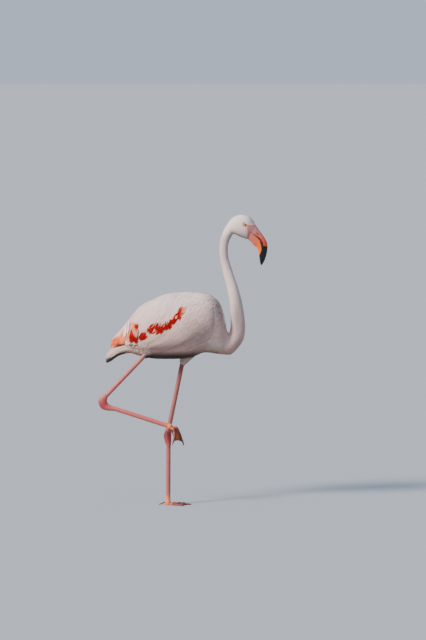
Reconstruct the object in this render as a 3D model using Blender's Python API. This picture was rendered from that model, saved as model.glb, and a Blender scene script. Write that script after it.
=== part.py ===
"""A greater flamingo, life size, standing on its left leg with the right foot lifted in mid stride.

Metres, +Z up. The bird faces +X and its left side is +Y. The origin is the middle of the standing
foot's pad, on the floor. Each named part of the body is one closed solid, 0.3 mm clear of its
neighbours. Sections are ribs: ellipses across the body, each set by two points of the side outline
and a half width.
"""

import bmesh
import bpy
import numpy as np

# ---- Driving sizes -------------------------------------------------------------------------------
GAP = 0.0003  # thin cut between two solids
FLOOR = 0.0
RING_SIDES = 20  # corners of a trunk, neck or head section
LEG_SIDES = 12
TOE_SIDES = 8
TOE_AXIS = (0.3, 0.95, 0.1)  # across a toe, near enough

LEG_RADIUS = 0.0092  # shank and tarsus, half their thickness seen from the side
LEG_SIDE_RADIUS = 0.0080  # the same seen from the front
EYE_RADIUS = 0.0062
EYE_CENTRE = (0.3065, 0.0226, 1.1270)  # the left eye
TOE_RADIUS = 0.0058
WEB_THICKNESS = 0.0014
HUB_RADIUS = 0.0116  # the pad that the toes spread from
HUB_HEIGHT = 0.0170
CLAW_LENGTH = 0.0090

# Trunk ribs stand upright: x, top, bottom, half width.
TRUNK = (
    (-0.180, 0.684, 0.634, 0.026),
    (-0.150, 0.750, 0.613, 0.052),
    (-0.110, 0.799, 0.600, 0.073),
    (-0.060, 0.826, 0.590, 0.087),
    (0.000, 0.850, 0.588, 0.095),
    (0.060, 0.858, 0.590, 0.098),
    (0.110, 0.857, 0.601, 0.096),
    (0.140, 0.854, 0.613, 0.091),
    (0.170, 0.845, 0.613, 0.084),
    (0.195, 0.827, 0.609, 0.074),
    (0.212, 0.803, 0.607, 0.065),
    (0.223, 0.770, 0.606, 0.056),
    (0.230, 0.734, 0.605, 0.049),
    (0.2355, 0.703, 0.605, 0.044),
)
# Neck ribs: x and z on the side that faces the back, x and z on the front, half width.
NECK = (
    (0.2410, 0.6915, 0.2540, 0.6070, 0.0390),
    (0.2455, 0.6960, 0.2790, 0.6310, 0.0350),
    (0.2490, 0.7065, 0.3010, 0.6640, 0.0318),
    (0.2508, 0.7240, 0.3085, 0.7030, 0.0300),
    (0.2510, 0.7560, 0.3065, 0.7520, 0.0278),
    (0.2465, 0.8120, 0.2955, 0.8180, 0.0245),
    (0.2370, 0.8680, 0.2785, 0.8800, 0.0210),
    (0.2205, 0.9310, 0.2575, 0.9410, 0.0185),
    (0.2075, 0.9900, 0.2420, 0.9930, 0.0172),
    (0.2050, 1.0340, 0.2395, 1.0300, 0.0170),
    (0.2110, 1.0720, 0.2440, 1.0585, 0.0172),
    (0.2240, 1.1050, 0.2555, 1.0815, 0.0185),
)
# Head ribs, as the neck's: from the nape to the base of the bill.
HEAD = (
    (0.2360, 1.1250, 0.2645, 1.0885, 0.0215),
    (0.2510, 1.1460, 0.2755, 1.0830, 0.0252),
    (0.2720, 1.1605, 0.2900, 1.0770, 0.0278),
    (0.3000, 1.1650, 0.3055, 1.0710, 0.0283),
    (0.3245, 1.1575, 0.3135, 1.0672, 0.0255),
    (0.3410, 1.1420, 0.3170, 1.0672, 0.0212),
    (0.3495, 1.1265, 0.3190, 1.0680, 0.0178),
)
# Tail ribs, from under the rump to the tips: upper x and z, lower x and z, half width.
TAIL = (
    (-0.1350, 0.6580, -0.1500, 0.6140, 0.0470),
    (-0.1720, 0.6510, -0.1820, 0.6090, 0.0460),
    (-0.2040, 0.6410, -0.2080, 0.5965, 0.0420),
    (-0.2310, 0.6250, -0.2290, 0.5810, 0.0360),
    (-0.2490, 0.5985, -0.2480, 0.5720, 0.0260),
)
# Wing ribs stand upright: x, top, bottom, outermost y, half thickness before the trunk cuts it.
WING = (
    (0.181, 0.778, 0.716, 0.0745, 0.030),
    (0.165, 0.800, 0.696, 0.0880, 0.040),
    (0.130, 0.822, 0.672, 0.1000, 0.050),
    (0.070, 0.838, 0.650, 0.1080, 0.054),
    (0.000, 0.836, 0.638, 0.1070, 0.054),
    (-0.060, 0.818, 0.636, 0.0990, 0.048),
    (-0.110, 0.790, 0.640, 0.0860, 0.0415),
    (-0.150, 0.752, 0.643, 0.0680, 0.0328),
    (-0.190, 0.703, 0.642, 0.0460, 0.0220),
    (-0.218, 0.669, 0.633, 0.0290, 0.0136),
    (-0.238, 0.638, 0.620, 0.0150, 0.0066),
)
WING_LEAN = -0.14  # how far a wing's section leans in for each metre of height

# Legs: x and z on the back of the leg, x and z on its front, through the ankle.
SHANK_RIGHT = ((-0.0985, -0.0370, 0.5990), (-0.2400, -0.0575, 0.4520))  # centres x, y, z
ANKLE_RIGHT = (
    (-0.2590, 0.4520, -0.2405, 0.4370),
    (-0.2745, 0.4360, -0.2425, 0.4280),
    (-0.2780, 0.4185, -0.2425, 0.4215),
    (-0.2700, 0.3985, -0.2400, 0.4160),
    (-0.2540, 0.3880, -0.2340, 0.4108),
    (-0.2290, 0.3845, -0.2215, 0.4050),
)
TARSUS_RIGHT = ((-0.2100, -0.0575, 0.3925), (0.0020, -0.0420, 0.3225))
SHANK_LEFT = ((0.0550, 0.0400, 0.5600), (0.0050, 0.0235, 0.3190))
ANKLE_LEFT = (
    (-0.0060, 0.3120, 0.0134, 0.3100),
    (-0.0140, 0.2930, 0.0136, 0.2920),
    (-0.0180, 0.2760, 0.0130, 0.2750),
    (-0.0150, 0.2560, 0.0126, 0.2560),
    (-0.0085, 0.2380, 0.0112, 0.2380),
)
ANKLE_WIDTH = 0.0112  # half its width, seen from the front
TARSUS_LEFT = ((0.0010, 0.0165, 0.2280), (0.0000, 0.0000, 0.0180))

# Thighs: centre x, y, z and radius, from inside the trunk to the feathers' end.
THIGH_RIGHT = (
    (-0.0500, -0.0260, 0.6450, 0.0360),
    (-0.0760, -0.0330, 0.6180, 0.0225),
    (-0.0970, -0.0368, 0.6005, 0.0122),
)
THIGH_LEFT = (
    (0.0920, 0.0340, 0.6350, 0.0420),
    (0.0720, 0.0400, 0.5950, 0.0250),
    (0.0555, 0.0400, 0.5625, 0.0125),
)

# Toes: length, and how far each turns out from straight ahead, in degrees.
TOES = {"inner": (0.066, -34.0), "middle": (0.085, 0.0), "outer": (0.076, 33.0)}
HIND_TOE_LENGTH = 0.020
WEB_REACH = 0.96  # the web's edge on a toe, as a share of the toe's length
WEB_DIP = 0.05  # how far the web's free edge curves in
# The lifted foot's toes bend down past a knuckle: x, y, z from the pad to the claw.
LIFTED = {
    "inner": (
        (0.0140, -0.0335, 0.3180),
        (0.0290, -0.0300, 0.3130),
        (0.0430, -0.0255, 0.2940),
        (0.0560, -0.0205, 0.2610),
    ),
    "middle": (
        (0.0150, -0.0415, 0.3190),
        (0.0350, -0.0420, 0.3135),
        (0.0475, -0.0435, 0.2900),
        (0.0610, -0.0450, 0.2530),
    ),
    "outer": (
        (0.0120, -0.0495, 0.3160),
        (0.0245, -0.0550, 0.3060),
        (0.0270, -0.0620, 0.2860),
        (0.0210, -0.0700, 0.2600),
    ),
    "hind": ((0.0110, -0.0415, 0.3110), (0.0165, -0.0412, 0.3020), (0.0195, -0.0408, 0.2900)),
}

# The bill, from its base to its tip: culmen x and z, mouth x and z, keel x and z, half width.
BILL = (
    (0.3502, 1.1255, 0.3330, 1.0945, 0.3195, 1.0672, 0.0174),
    (0.3600, 1.1100, 0.3450, 1.0868, 0.3290, 1.0590, 0.0160),
    (0.3730, 1.0925, 0.3562, 1.0790, 0.3410, 1.0455, 0.0142),
    (0.3862, 1.0735, 0.3672, 1.0688, 0.3530, 1.0355, 0.0128),
    (0.3958, 1.0535, 0.3745, 1.0550, 0.3595, 1.0240, 0.0114),
    (0.3978, 1.0320, 0.3768, 1.0370, 0.3632, 1.0080, 0.0098),
    (0.3940, 1.0060, 0.3775, 1.0140, 0.3655, 0.9920, 0.0080),
    (0.3858, 0.9815, 0.3760, 0.9885, 0.3675, 0.9775, 0.0060),
    (0.3752, 0.9632, 0.3728, 0.9675, 0.3700, 0.9655, 0.0034),
)
BILL_STEPS = 15
TRUNK_STEPS, NECK_STEPS, HEAD_STEPS, TAIL_STEPS, WING_STEPS = 24, 8, 12, 8, 17

COLOURS = {
    "plumage": ((0.86, 0.78, 0.76, 1.0), 0.80),
    "wing": ((0.88, 0.74, 0.70, 1.0), 0.75),
    "bare_skin": ((0.78, 0.33, 0.30, 1.0), 0.45),
    "bill_pink": ((0.86, 0.36, 0.22, 1.0), 0.35),
    "horn": ((0.06, 0.05, 0.05, 1.0), 0.30),
    "web": ((0.66, 0.24, 0.16, 1.0), 0.50),
    "eye": ((0.85, 0.66, 0.25, 1.0), 0.10),
}


# ---- Small tools ---------------------------------------------------------------------------------
def smooth_rows(rows, places):
    """Rows of numbers read from a Catmull-Rom curve through them, at places counted in rows."""
    rows = np.asarray(rows, float)
    padded = np.vstack([2 * rows[0] - rows[1], rows, 2 * rows[-1] - rows[-2]])
    places = np.clip(np.asarray(places, float), 0, len(rows) - 1)
    start = np.minimum(places.astype(int), len(rows) - 2)
    t = (places - start)[:, None]
    a, b, c, d = (padded[start + k] for k in range(4))
    return 0.5 * (
        2 * b + (c - a) * t + (2 * a - 5 * b + 4 * c - d) * t**2 + (3 * b - a - 3 * c + d) * t**3
    )


def spread(first, last, count):
    return np.linspace(first, last, count)


def unit(vectors):
    return vectors / np.linalg.norm(vectors, axis=-1, keepdims=True)


def material(name):
    colour, roughness = COLOURS[name]
    made = bpy.data.materials.get(name) or bpy.data.materials.new(name)
    made.use_nodes = True
    shader = made.node_tree.nodes["Principled BSDF"]
    shader.inputs["Base Color"].default_value = colour
    shader.inputs["Roughness"].default_value = roughness
    shader.inputs["Metallic"].default_value = 0.0
    return made


def object_from(name, mesh_data, finish):
    bmesh.ops.recalc_face_normals(mesh_data, faces=mesh_data.faces)
    if mesh_data.calc_volume(signed=True) < 0:
        bmesh.ops.reverse_faces(mesh_data, faces=mesh_data.faces)
    mesh = bpy.data.meshes.new(name)
    mesh_data.to_mesh(mesh)
    mesh_data.free()
    mesh.shade_smooth()
    mesh.set_sharp_from_angle(angle=np.radians(50))
    mesh.materials.append(material(finish))
    made = bpy.data.objects.new(name, mesh)
    bpy.context.scene.collection.objects.link(made)
    return made


def ring_solid(name, rings, finish):
    """A closed solid from rings of corners, each ring bridged to the next and both ends filled."""
    rings = np.asarray(rings, float)
    build = bmesh.new()
    loops = [[build.verts.new(corner) for corner in ring] for ring in rings]
    sides = len(loops[0])
    for lower, upper in zip(loops, loops[1:]):
        for k in range(sides):
            build.faces.new((lower[k], lower[(k + 1) % sides], upper[(k + 1) % sides], upper[k]))
    build.faces.new(loops[0][::-1])
    build.faces.new(loops[-1])
    return object_from(name, build, finish)


def cut(target, *cutters):
    """Cuts the cutters out of the target, and keeps them as hidden guides."""
    for cutter in cutters:
        cutter.hide_render = True
        cutter.display_type = "WIRE"
        modifier = target.modifiers.new("cut_" + cutter.name, "BOOLEAN")
        modifier.operation = "DIFFERENCE"
        modifier.object = cutter


def rib_rings(ribs, sides, y=0.0, grow=0.0):
    """Ellipses between two outline points. ribs: x, z of one, x, z of the other, half width."""
    ribs = np.asarray(ribs, float)
    first, second, width = ribs[:, 0:2], ribs[:, 2:4], ribs[:, 4] + grow
    centre, half = (first + second) / 2, (second - first) / 2
    half = half * (1 + grow / np.linalg.norm(half, axis=1, keepdims=True))
    turn = np.linspace(0, 2 * np.pi, sides, endpoint=False)
    along = centre[:, None] + half[:, None] * np.cos(turn)[None, :, None]
    across = np.broadcast_to(y, len(ribs))[:, None] + width[:, None] * np.sin(turn)
    return np.stack([along[..., 0], across, along[..., 1]], 2)


def upright(rows):
    """Upright ribs from x, top, bottom and half width."""
    rows = np.asarray(rows, float)
    return rows[:, [0, 1, 0, 2, 3]]


def trimmed(rings, start=True, end=True):
    """The rings with their first and last moved in by half the thin cut."""
    rings = rings.copy()
    for here, there, wanted in ((0, 1, start), (-1, -2, end)):
        if wanted:
            way = rings[there].mean(0) - rings[here].mean(0)
            rings[here] += way / np.linalg.norm(way) * GAP / 2
    return rings


def tube_rings(points, radii, sides, flatten=1.0, side_axis=(0.0, 1.0, 0.0)):
    """Ellipses square to a path. flatten is the width across side_axis over the other width."""
    points, radii = np.asarray(points, float), np.asarray(radii, float)
    tangent = unit(np.gradient(points, axis=0))
    across = np.broadcast_to(np.asarray(side_axis, float), points.shape)
    across = unit(across - tangent * (across * tangent).sum(1, keepdims=True))
    other = np.cross(tangent, across)
    turn = np.linspace(0, 2 * np.pi, sides, endpoint=False)
    return points[:, None] + radii[:, None, None] * (
        across[:, None] * flatten * np.cos(turn)[:, None] + other[:, None] * np.sin(turn)[:, None]
    )


# ---- Trunk, neck, head and tail ------------------------------------------------------------------
def body_ribs():
    return np.vstack([upright(TRUNK), NECK, HEAD])


def body_solid(name, first, last, steps, finish="plumage", start=True, end=True):
    """One length of the body between two ribs, counted along trunk, neck and head."""
    ribs = smooth_rows(body_ribs(), spread(first, last, steps))
    return ring_solid(name, trimmed(rib_rings(ribs, RING_SIDES), start, end), finish)


def make_body():
    trunk_end = len(TRUNK) - 1
    head_start = len(TRUNK) + len(NECK) - 0.5
    last = len(body_ribs()) - 1
    neck_cuts = (trunk_end, trunk_end + 3.5, trunk_end + 6.2, trunk_end + 9.0, head_start)
    trunk = body_solid("trunk", 0, trunk_end, TRUNK_STEPS, start=False)
    for name, low, high in zip(
        ("neck_base", "neck_lower", "neck_middle", "neck_upper"), neck_cuts, neck_cuts[1:]
    ):
        body_solid(name, low, high, NECK_STEPS)
    head = body_solid("head", head_start, last, HEAD_STEPS)
    return trunk, head


def trunk_cutter(name, grow):
    ribs = smooth_rows(upright(TRUNK), spread(0, len(TRUNK) - 1, TRUNK_STEPS))
    rings = rib_rings(ribs, RING_SIDES, grow=grow)
    rings[0, :, 0] -= grow
    rings[-1, :, 0] += grow
    return ring_solid(name, rings, "plumage")


def tail_rings(grow=0.0):
    return rib_rings(smooth_rows(TAIL, spread(0, len(TAIL) - 1, TAIL_STEPS)), RING_SIDES, grow=grow)


def make_tail(cutter):
    tail = ring_solid("tail", tail_rings(), "plumage")
    cut(tail, cutter)


def make_wing(side, cutters):
    """A folded wing: a leaning lens laid over the trunk's side, which the trunk then hollows."""
    rows = smooth_rows(WING, spread(0, len(WING) - 1, WING_STEPS))
    x, top, bottom, outer, thick = rows.T
    middle, half = (top + bottom) / 2, (top - bottom) / 2
    turn = np.linspace(0, 2 * np.pi, RING_SIDES, endpoint=False)
    up = half[:, None] * np.sin(turn)
    out = (outer - thick)[:, None] + thick[:, None] * np.cos(turn) + WING_LEAN * up
    out = np.maximum(out, GAP)
    rings = np.stack([np.broadcast_to(x[:, None], up.shape), side * out, middle[:, None] + up], 2)
    wing = ring_solid("wing_left" if side > 0 else "wing_right", rings, "wing")
    cut(wing, *cutters)


def make_eyes(head):
    """Two balls, each in a socket that leaves the thin cut all round."""
    for name, side in (("eye_left", 1), ("eye_right", -1)):
        place = np.array(EYE_CENTRE) * (1, side, 1)
        for what, radius in ((name, EYE_RADIUS), (name + "_socket", EYE_RADIUS + GAP)):
            build = bmesh.new()
            bmesh.ops.create_uvsphere(build, u_segments=12, v_segments=8, radius=radius)
            ball = object_from(what, build, "eye")
            ball.location = place
        cut(head, ball)


# ---- Bill ----------------------------------------------------------------------------------------
def make_bill(upper):
    """A half bill: a half ellipse from the mouth line out to the culmen or the keel."""
    rows = smooth_rows(BILL, spread(0, len(BILL) - 1, BILL_STEPS))
    mouth, width = rows[:, 2:4], rows[:, 6]
    edge = rows[:, 0:2] if upper else rows[:, 4:6]
    inward = unit(edge - mouth)
    mouth = mouth + inward * GAP / 2
    turn = np.linspace(0, np.pi, RING_SIDES // 2)
    along = mouth[:, None] + (edge - mouth)[:, None] * np.sin(turn)[:, None]
    across = width[:, None] * np.cos(turn)
    rings = np.stack([along[..., 0], across, along[..., 1]], 2)
    forward = rings[1].mean(0) - rings[0].mean(0)
    rings[0] += forward / np.linalg.norm(forward) * GAP
    ring_solid("bill_upper" if upper else "bill_lower", rings, "bill_pink")


# ---- Legs ----------------------------------------------------------------------------------------
def straight_rings(ends, start_radius, end_radius, steps=6):
    points = smooth_rows(ends, spread(0, 1, steps))
    radii = spread(start_radius, end_radius, steps)
    return tube_rings(points, radii, LEG_SIDES, LEG_SIDE_RADIUS / LEG_RADIUS)


def make_leg(side, thigh, shank, ankle, tarsus, cutter):
    """Thigh, shank, ankle and tarsus. The ankle's ribs fan round the bend."""
    rows = smooth_rows(thigh, spread(0, len(thigh) - 1, 9))
    rings = tube_rings(rows[:, :3], rows[:, 3], LEG_SIDES)
    top = straight_rings(shank, LEG_RADIUS, LEG_RADIUS * 1.02)[0]
    end = top.mean(0) + (top - top.mean(0)) * rows[-1, 3] / LEG_RADIUS
    rings[-1] = matched(end, rings[-2])
    cut(ring_solid("thigh_" + side, trimmed(rings, start=False), "plumage"), cutter)

    rings = trimmed(straight_rings(shank, LEG_RADIUS, LEG_RADIUS * 1.02))
    ring_solid("shank_" + side, rings, "bare_skin")

    ribs = smooth_rows(ankle, spread(0, len(ankle) - 1, 11))
    swell = np.sin(np.linspace(0, np.pi, len(ribs)))
    width = LEG_SIDE_RADIUS + (ANKLE_WIDTH - LEG_SIDE_RADIUS) * swell
    y = np.linspace(shank[1][1], tarsus[0][1], len(ribs))
    rings = rib_rings(np.column_stack([ribs, width]), LEG_SIDES, y)
    first = straight_rings(shank, LEG_RADIUS, LEG_RADIUS * 1.02)[-1]
    last = straight_rings(tarsus, LEG_RADIUS * 1.05, LEG_RADIUS)[0]
    rings = np.concatenate([[matched(first, rings[0])], rings, [matched(last, rings[-1])]])
    ring_solid("ankle_" + side, trimmed(rings), "bare_skin")

    rings = trimmed(straight_rings(tarsus, LEG_RADIUS * 1.05, LEG_RADIUS))
    ring_solid("tarsus_" + side, rings, "bare_skin")


def matched(ring, neighbour):
    """The ring with its corners renumbered, and turned if need be, to lie by its neighbour's."""
    options = [np.roll(r, k, axis=0) for r in (ring, ring[::-1]) for k in range(len(ring))]
    shift = neighbour.mean(0) - ring.mean(0)
    return min(options, key=lambda r: float(((r + shift - neighbour) ** 2).sum()))


# ---- Feet ----------------------------------------------------------------------------------------
def floor_clipped(rings):
    """Flattens whatever would lie under the floor, which gives the soles their flats."""
    rings = rings.copy()
    rings[..., 2] = np.maximum(rings[..., 2], FLOOR)
    return rings


def toe_radii(count):
    """A toe's thickness: it widens from the pad, then tapers slowly with three soft joints."""
    t = np.linspace(0, 1, count)
    joints = 1 + 0.06 * np.cos(6 * np.pi * t)
    return TOE_RADIUS * (1 - 0.42 * t) * (1 - 0.46 * np.exp(-t / 0.10)) * joints


def hub_rings(ends, grow=0.0, steps=7):
    """A rounded pad between two points: its radius swells along a wave and is least at the ends."""
    t = np.linspace(0, 1, steps)
    radii = HUB_RADIUS * (0.72 + 0.28 * np.sin(np.pi * t) ** 0.6) + grow
    start, end = np.asarray(ends, float)
    way = unit(end - start) * grow
    return tube_rings(start - way + (end - start + 2 * way) * t[:, None], radii, LEG_SIDES)


def standing_paths():
    """Where the standing foot's toes lie: straight out from the pad, resting on the floor."""
    paths = {}
    for name, (length, turn) in TOES.items():
        way = np.array([np.cos(np.radians(turn)), np.sin(np.radians(turn)), 0.0])
        reach = np.linspace(HUB_RADIUS - 0.0006, length, 9)
        points = way * reach[:, None]
        points[:, 2] = toe_radii(9) * 0.80
        paths[name] = points
    back = np.linspace(HUB_RADIUS - 0.002, HUB_RADIUS + HIND_TOE_LENGTH, 6)
    paths["hind"] = np.column_stack([-back, -0.12 * back, np.linspace(0.0125, 0.0042, 6)])
    return paths


def lifted_paths():
    """The lifted foot's toes: from the pad over the knuckle and down."""
    return {n: smooth_rows(p, spread(0, len(p) - 1, 3 * len(p) - 3)) for n, p in LIFTED.items()}


def make_toes(side, paths, hub):
    """Each toe is trimmed by the pad, and runs to its claw."""
    on_floor = side == "left"
    for name, points in paths.items():
        radii = toe_radii(len(points)) * (0.62 if name == "hind" else 1.0)
        rings = tube_rings(points, radii, TOE_SIDES, side_axis=TOE_AXIS)
        toe = ring_solid(f"toe_{name}_{side}", floor_clipped(rings) if on_floor else rings, "web")
        cut(toe, hub)
        tip_way = unit(points[-1] - points[-2])
        make_claw(f"claw_{name}_{side}", points[-1], tip_way, radii[-1], on_floor)


def make_claw(name, tip, way, radius, on_floor):
    """A blunt claw that carries on from the toe's end and hooks down."""
    t = np.linspace(0, 1, 4)
    droop = -0.35 * CLAW_LENGTH * t**2 if not on_floor else -0.25 * radius * t**2
    points = tip + way * (GAP + CLAW_LENGTH * t)[:, None]
    points[:, 2] += droop
    rings = tube_rings(points, radius * (0.80 - 0.62 * t**1.5), 6)
    ring_solid(name, floor_clipped(rings) if on_floor else rings, "horn")


def make_web(name, one, other):
    """A membrane between two toes: a ruled sheet whose free edge curves in, made thick."""
    across = np.linspace(0, 1, 6)
    inset = (TOE_RADIUS * 0.55) / np.linalg.norm(one[-2] - other[-2])
    share = inset + across * (1 - 2 * inset)
    reach = WEB_REACH - WEB_DIP * np.sin(np.pi * across)
    along = 0.16 + np.linspace(0, 1, 6)[:, None] * (reach - 0.16)
    lengths = np.linspace(0, 1, len(one))
    first = np.stack([np.interp(along, lengths, one[:, k]) for k in range(3)], 2)
    second = np.stack([np.interp(along, lengths, other[:, k]) for k in range(3)], 2)
    sheet = first * (1 - share)[:, None] + second * share[:, None]
    normal = unit(np.cross(np.gradient(sheet, axis=0), np.gradient(sheet, axis=1)))
    build = bmesh.new()
    faces = []
    for offset in (WEB_THICKNESS / 2, -WEB_THICKNESS / 2):
        faces.append([[build.verts.new(p) for p in row] for row in sheet + normal * offset])
    upper, lower = faces
    rows, columns = len(sheet), len(sheet[0])
    for layer in faces:
        for i in range(rows - 1):
            for j in range(columns - 1):
                near, far = layer[i], layer[i + 1]
                build.faces.new((near[j], near[j + 1], far[j + 1], far[j]))
    rim = [(0, j) for j in range(columns)]
    rim += [(i, columns - 1) for i in range(1, rows)]
    rim += [(rows - 1, j) for j in range(columns - 2, -1, -1)]
    rim += [(i, 0) for i in range(rows - 2, 0, -1)]
    for (i, j), (k, m) in zip(rim, rim[1:] + rim[:1]):
        build.faces.new((upper[i][j], upper[k][m], lower[k][m], lower[i][j]))
    return object_from(name, build, "web")


def make_foot(side, paths, hub_ends):
    ring_solid("pad_" + side, hub_rings(hub_ends), "web")
    guide = ring_solid("pad_guide_" + side, hub_rings(hub_ends, GAP), "web")
    make_toes(side, paths, guide)
    for name, one, other in (("inner", "inner", "middle"), ("outer", "middle", "outer")):
        web = make_web(f"web_{name}_{side}", paths[one], paths[other])
        cut(web, guide)
        for toe in (one, other):
            radii = toe_radii(len(paths[toe])) + GAP
            rings = tube_rings(paths[toe], radii, TOE_SIDES, side_axis=TOE_AXIS)
            cut(web, ring_solid(f"web_guide_{name}_{toe}_{side}", rings, "web"))


def main():
    for old in list(bpy.data.objects):
        bpy.data.objects.remove(old)
    trunk, head = make_body()
    clear_of_trunk = trunk_cutter("trunk_guide", GAP * 2)
    make_tail(clear_of_trunk)
    clear_of_tail = ring_solid("tail_guide", tail_rings(GAP * 2), "plumage")
    for side in (1, -1):
        make_wing(side, (clear_of_trunk, clear_of_tail))
    make_eyes(head)
    make_bill(upper=True)
    make_bill(upper=False)
    make_leg("left", THIGH_LEFT, SHANK_LEFT, ANKLE_LEFT, TARSUS_LEFT, clear_of_trunk)
    make_leg("right", THIGH_RIGHT, SHANK_RIGHT, ANKLE_RIGHT, TARSUS_RIGHT, clear_of_trunk)
    make_foot("left", standing_paths(), ((0.0, 0.0, FLOOR), (0.0, 0.0, HUB_HEIGHT)))
    ankle, foot = np.array(TARSUS_RIGHT)
    way = unit(foot - ankle)
    make_foot("right", lifted_paths(), (foot + way * GAP, foot + way * HUB_HEIGHT))


main()
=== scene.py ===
# %% [markdown]
# # A greater flamingo
# The bird is built in four layers, from the inside out. One skin covers the whole body, as on the
# living bird. Horn and eyes are pieces of their own. Small feathers clothe the skin in rows, as
# shingles clothe a roof. The long feathers of shoulders, wings and tail are laid over them last.
# Every shape is a function of two numbers: how far along the body, and how far round it.

# %% The frame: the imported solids, which fix every size and place
import math

import bpy
import numpy as np
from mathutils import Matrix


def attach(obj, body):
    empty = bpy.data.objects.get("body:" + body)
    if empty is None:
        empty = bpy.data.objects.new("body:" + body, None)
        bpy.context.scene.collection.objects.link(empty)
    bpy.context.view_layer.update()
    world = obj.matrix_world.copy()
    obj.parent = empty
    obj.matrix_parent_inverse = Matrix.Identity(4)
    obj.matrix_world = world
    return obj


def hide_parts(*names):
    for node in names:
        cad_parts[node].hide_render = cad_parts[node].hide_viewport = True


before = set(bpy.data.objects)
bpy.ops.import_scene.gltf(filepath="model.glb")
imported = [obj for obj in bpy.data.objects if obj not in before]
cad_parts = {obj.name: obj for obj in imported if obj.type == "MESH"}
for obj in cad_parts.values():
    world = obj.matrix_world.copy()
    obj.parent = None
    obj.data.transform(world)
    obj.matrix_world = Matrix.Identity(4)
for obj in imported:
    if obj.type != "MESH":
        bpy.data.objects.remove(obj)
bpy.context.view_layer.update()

# %% [markdown]
# ## The camera and the room
# The bird is seen from its right side with a long lens, from a little above its back, so that its
# outline is nearly a true side view. A wide pale floor stands in for everything round it. The
# light is a low, warm, soft sun from behind its tail on the camera's side, and a cool sky fills
# the shade.

# %% Camera
FRAME_HEIGHT = 2.56  # metres of subject from the bottom of the frame to its top
CAMERA_DISTANCE = 14.2
CAMERA_RISE = math.radians(4.0)
AIM = np.array([0.180, 0.0, 0.744])

camera_data = bpy.data.cameras.new("camera")
camera_data.sensor_width = 36.0
camera_data.lens = camera_data.sensor_width * CAMERA_DISTANCE / FRAME_HEIGHT
camera = bpy.data.objects.new("camera", camera_data)
back = np.array([0.0, -math.cos(CAMERA_RISE), math.sin(CAMERA_RISE)])
camera.location = AIM + back * CAMERA_DISTANCE
camera.rotation_euler = (math.pi / 2 - CAMERA_RISE, 0.0, 0.0)
bpy.context.scene.collection.objects.link(camera)
bpy.context.scene.camera = camera
print("lens", round(camera_data.lens, 1), "mm")


# %% [markdown]
# ## Writing shader maths
# A material is a graph of nodes. It could be wired by hand in the Shader Editor, but then its
# formula is hard to see. So a small class wraps a node's socket, and the usual operators add Math
# nodes behind it.


# %% A socket that can be added, multiplied and compared
class Wire:
    """A node's output socket, whose operators add Math nodes behind it."""

    def __init__(self, paint, socket):
        self.paint, self.socket = paint, socket

    def _math(self, operation, *others):
        """A Math node whose first input is this socket."""
        values = {k: other for k, other in enumerate((self, *others))}
        return self.paint.node("ShaderNodeMath", {"operation": operation}, values)

    def __add__(self, other):
        return self._math("ADD", other)

    __radd__ = __add__

    def __mul__(self, other):
        return self._math("MULTIPLY", other)

    __rmul__ = __mul__

    def __sub__(self, other):
        return self._math("SUBTRACT", other)

    def __rsub__(self, other):
        return self * -1.0 + other

    def absolute(self):
        """The value without its sign."""
        return self._math("ABSOLUTE")

    def sine(self):
        """The sine of an angle in radians."""
        return self._math("SINE")

    def smooth(self, low, high):
        """0 below low, 1 above high, and an even ease between."""
        settings = {"interpolation_type": "SMOOTHSTEP"}
        return self.paint.node("ShaderNodeMapRange", settings, {0: self, 1: low, 2: high})


print("a wire takes +, - and *")


# %% A material that is written as expressions
class Paint:
    """A Principled material and the nodes behind it."""

    def __init__(self, name, **constants):
        self.material = bpy.data.materials.new(name)
        self.material.use_nodes = True
        self.tree = self.material.node_tree
        self.shader = self.tree.nodes["Principled BSDF"]
        self.set(**constants)

    def put(self, node, key, value):
        """Link a wire to a node's input, or set the input's value."""
        if isinstance(value, Wire):
            self.tree.links.new(value.socket, node.inputs[key])
        else:
            node.inputs[key].default_value = value

    def set(self, **values):
        """Set or link the shader's inputs, with _ for each space in a name."""
        for key, value in values.items():
            self.put(self.shader, key.replace("_", " "), value)

    def node(self, kind, settings=None, values=None, output=0):
        """Add a node: its settings first, then its inputs, by name or by place."""
        made = self.tree.nodes.new(kind)
        for key, value in (settings or {}).items():
            setattr(made, key, value)
        for key, value in (values or {}).items():
            self.put(made, key, value)
        return Wire(self, made.outputs[output])

    def place(self):
        """Object coordinates, in metres."""
        return self.node("ShaderNodeTexCoord", output="Object")

    def axis(self, name):
        """One object coordinate: X, Y or Z."""
        return self.node("ShaderNodeSeparateXYZ", values={0: self.place()}, output=name)

    def attribute(self, name, output="Fac"):
        """Numbers that the mesh carries."""
        return self.node("ShaderNodeAttribute", {"attribute_name": name}, output=output)

    def noise(self, scale, detail=3.0):
        """Cloudy noise round 0.5, with about scale lumps to the metre."""
        values = {"Vector": self.place(), "Scale": scale, "Detail": detail}
        return self.node("ShaderNodeTexNoise", values=values)

    def mix(self, amount, first, second):
        """The first colour where amount is 0, the second where it is 1."""
        settings = {"data_type": "RGBA"}
        values = {0: amount, 6: rgba(first), 7: rgba(second)}
        return self.node("ShaderNodeMix", settings, values, output=2)

    def tinted(self, colour, factor):
        """A colour made lighter or darker by a grey factor."""
        grey = self.node("ShaderNodeCombineColor", values={0: factor, 1: factor, 2: factor})
        settings = {"data_type": "RGBA", "blend_type": "MULTIPLY"}
        return self.node("ShaderNodeMix", settings, {0: 1.0, 6: rgba(colour), 7: grey}, output=2)

    def bump(self, height, strength, distance):
        """Tilt the shading by a height, without moving the surface."""
        values = {"Height": height, "Strength": strength, "Distance": distance}
        self.set(Normal=self.node("ShaderNodeBump", values=values))


def rgba(colour):
    """A wire as it is, or three numbers with an alpha of 1."""
    return colour if isinstance(colour, Wire) else (*colour[:3], 1.0)


print("shader helpers ready")

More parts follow.
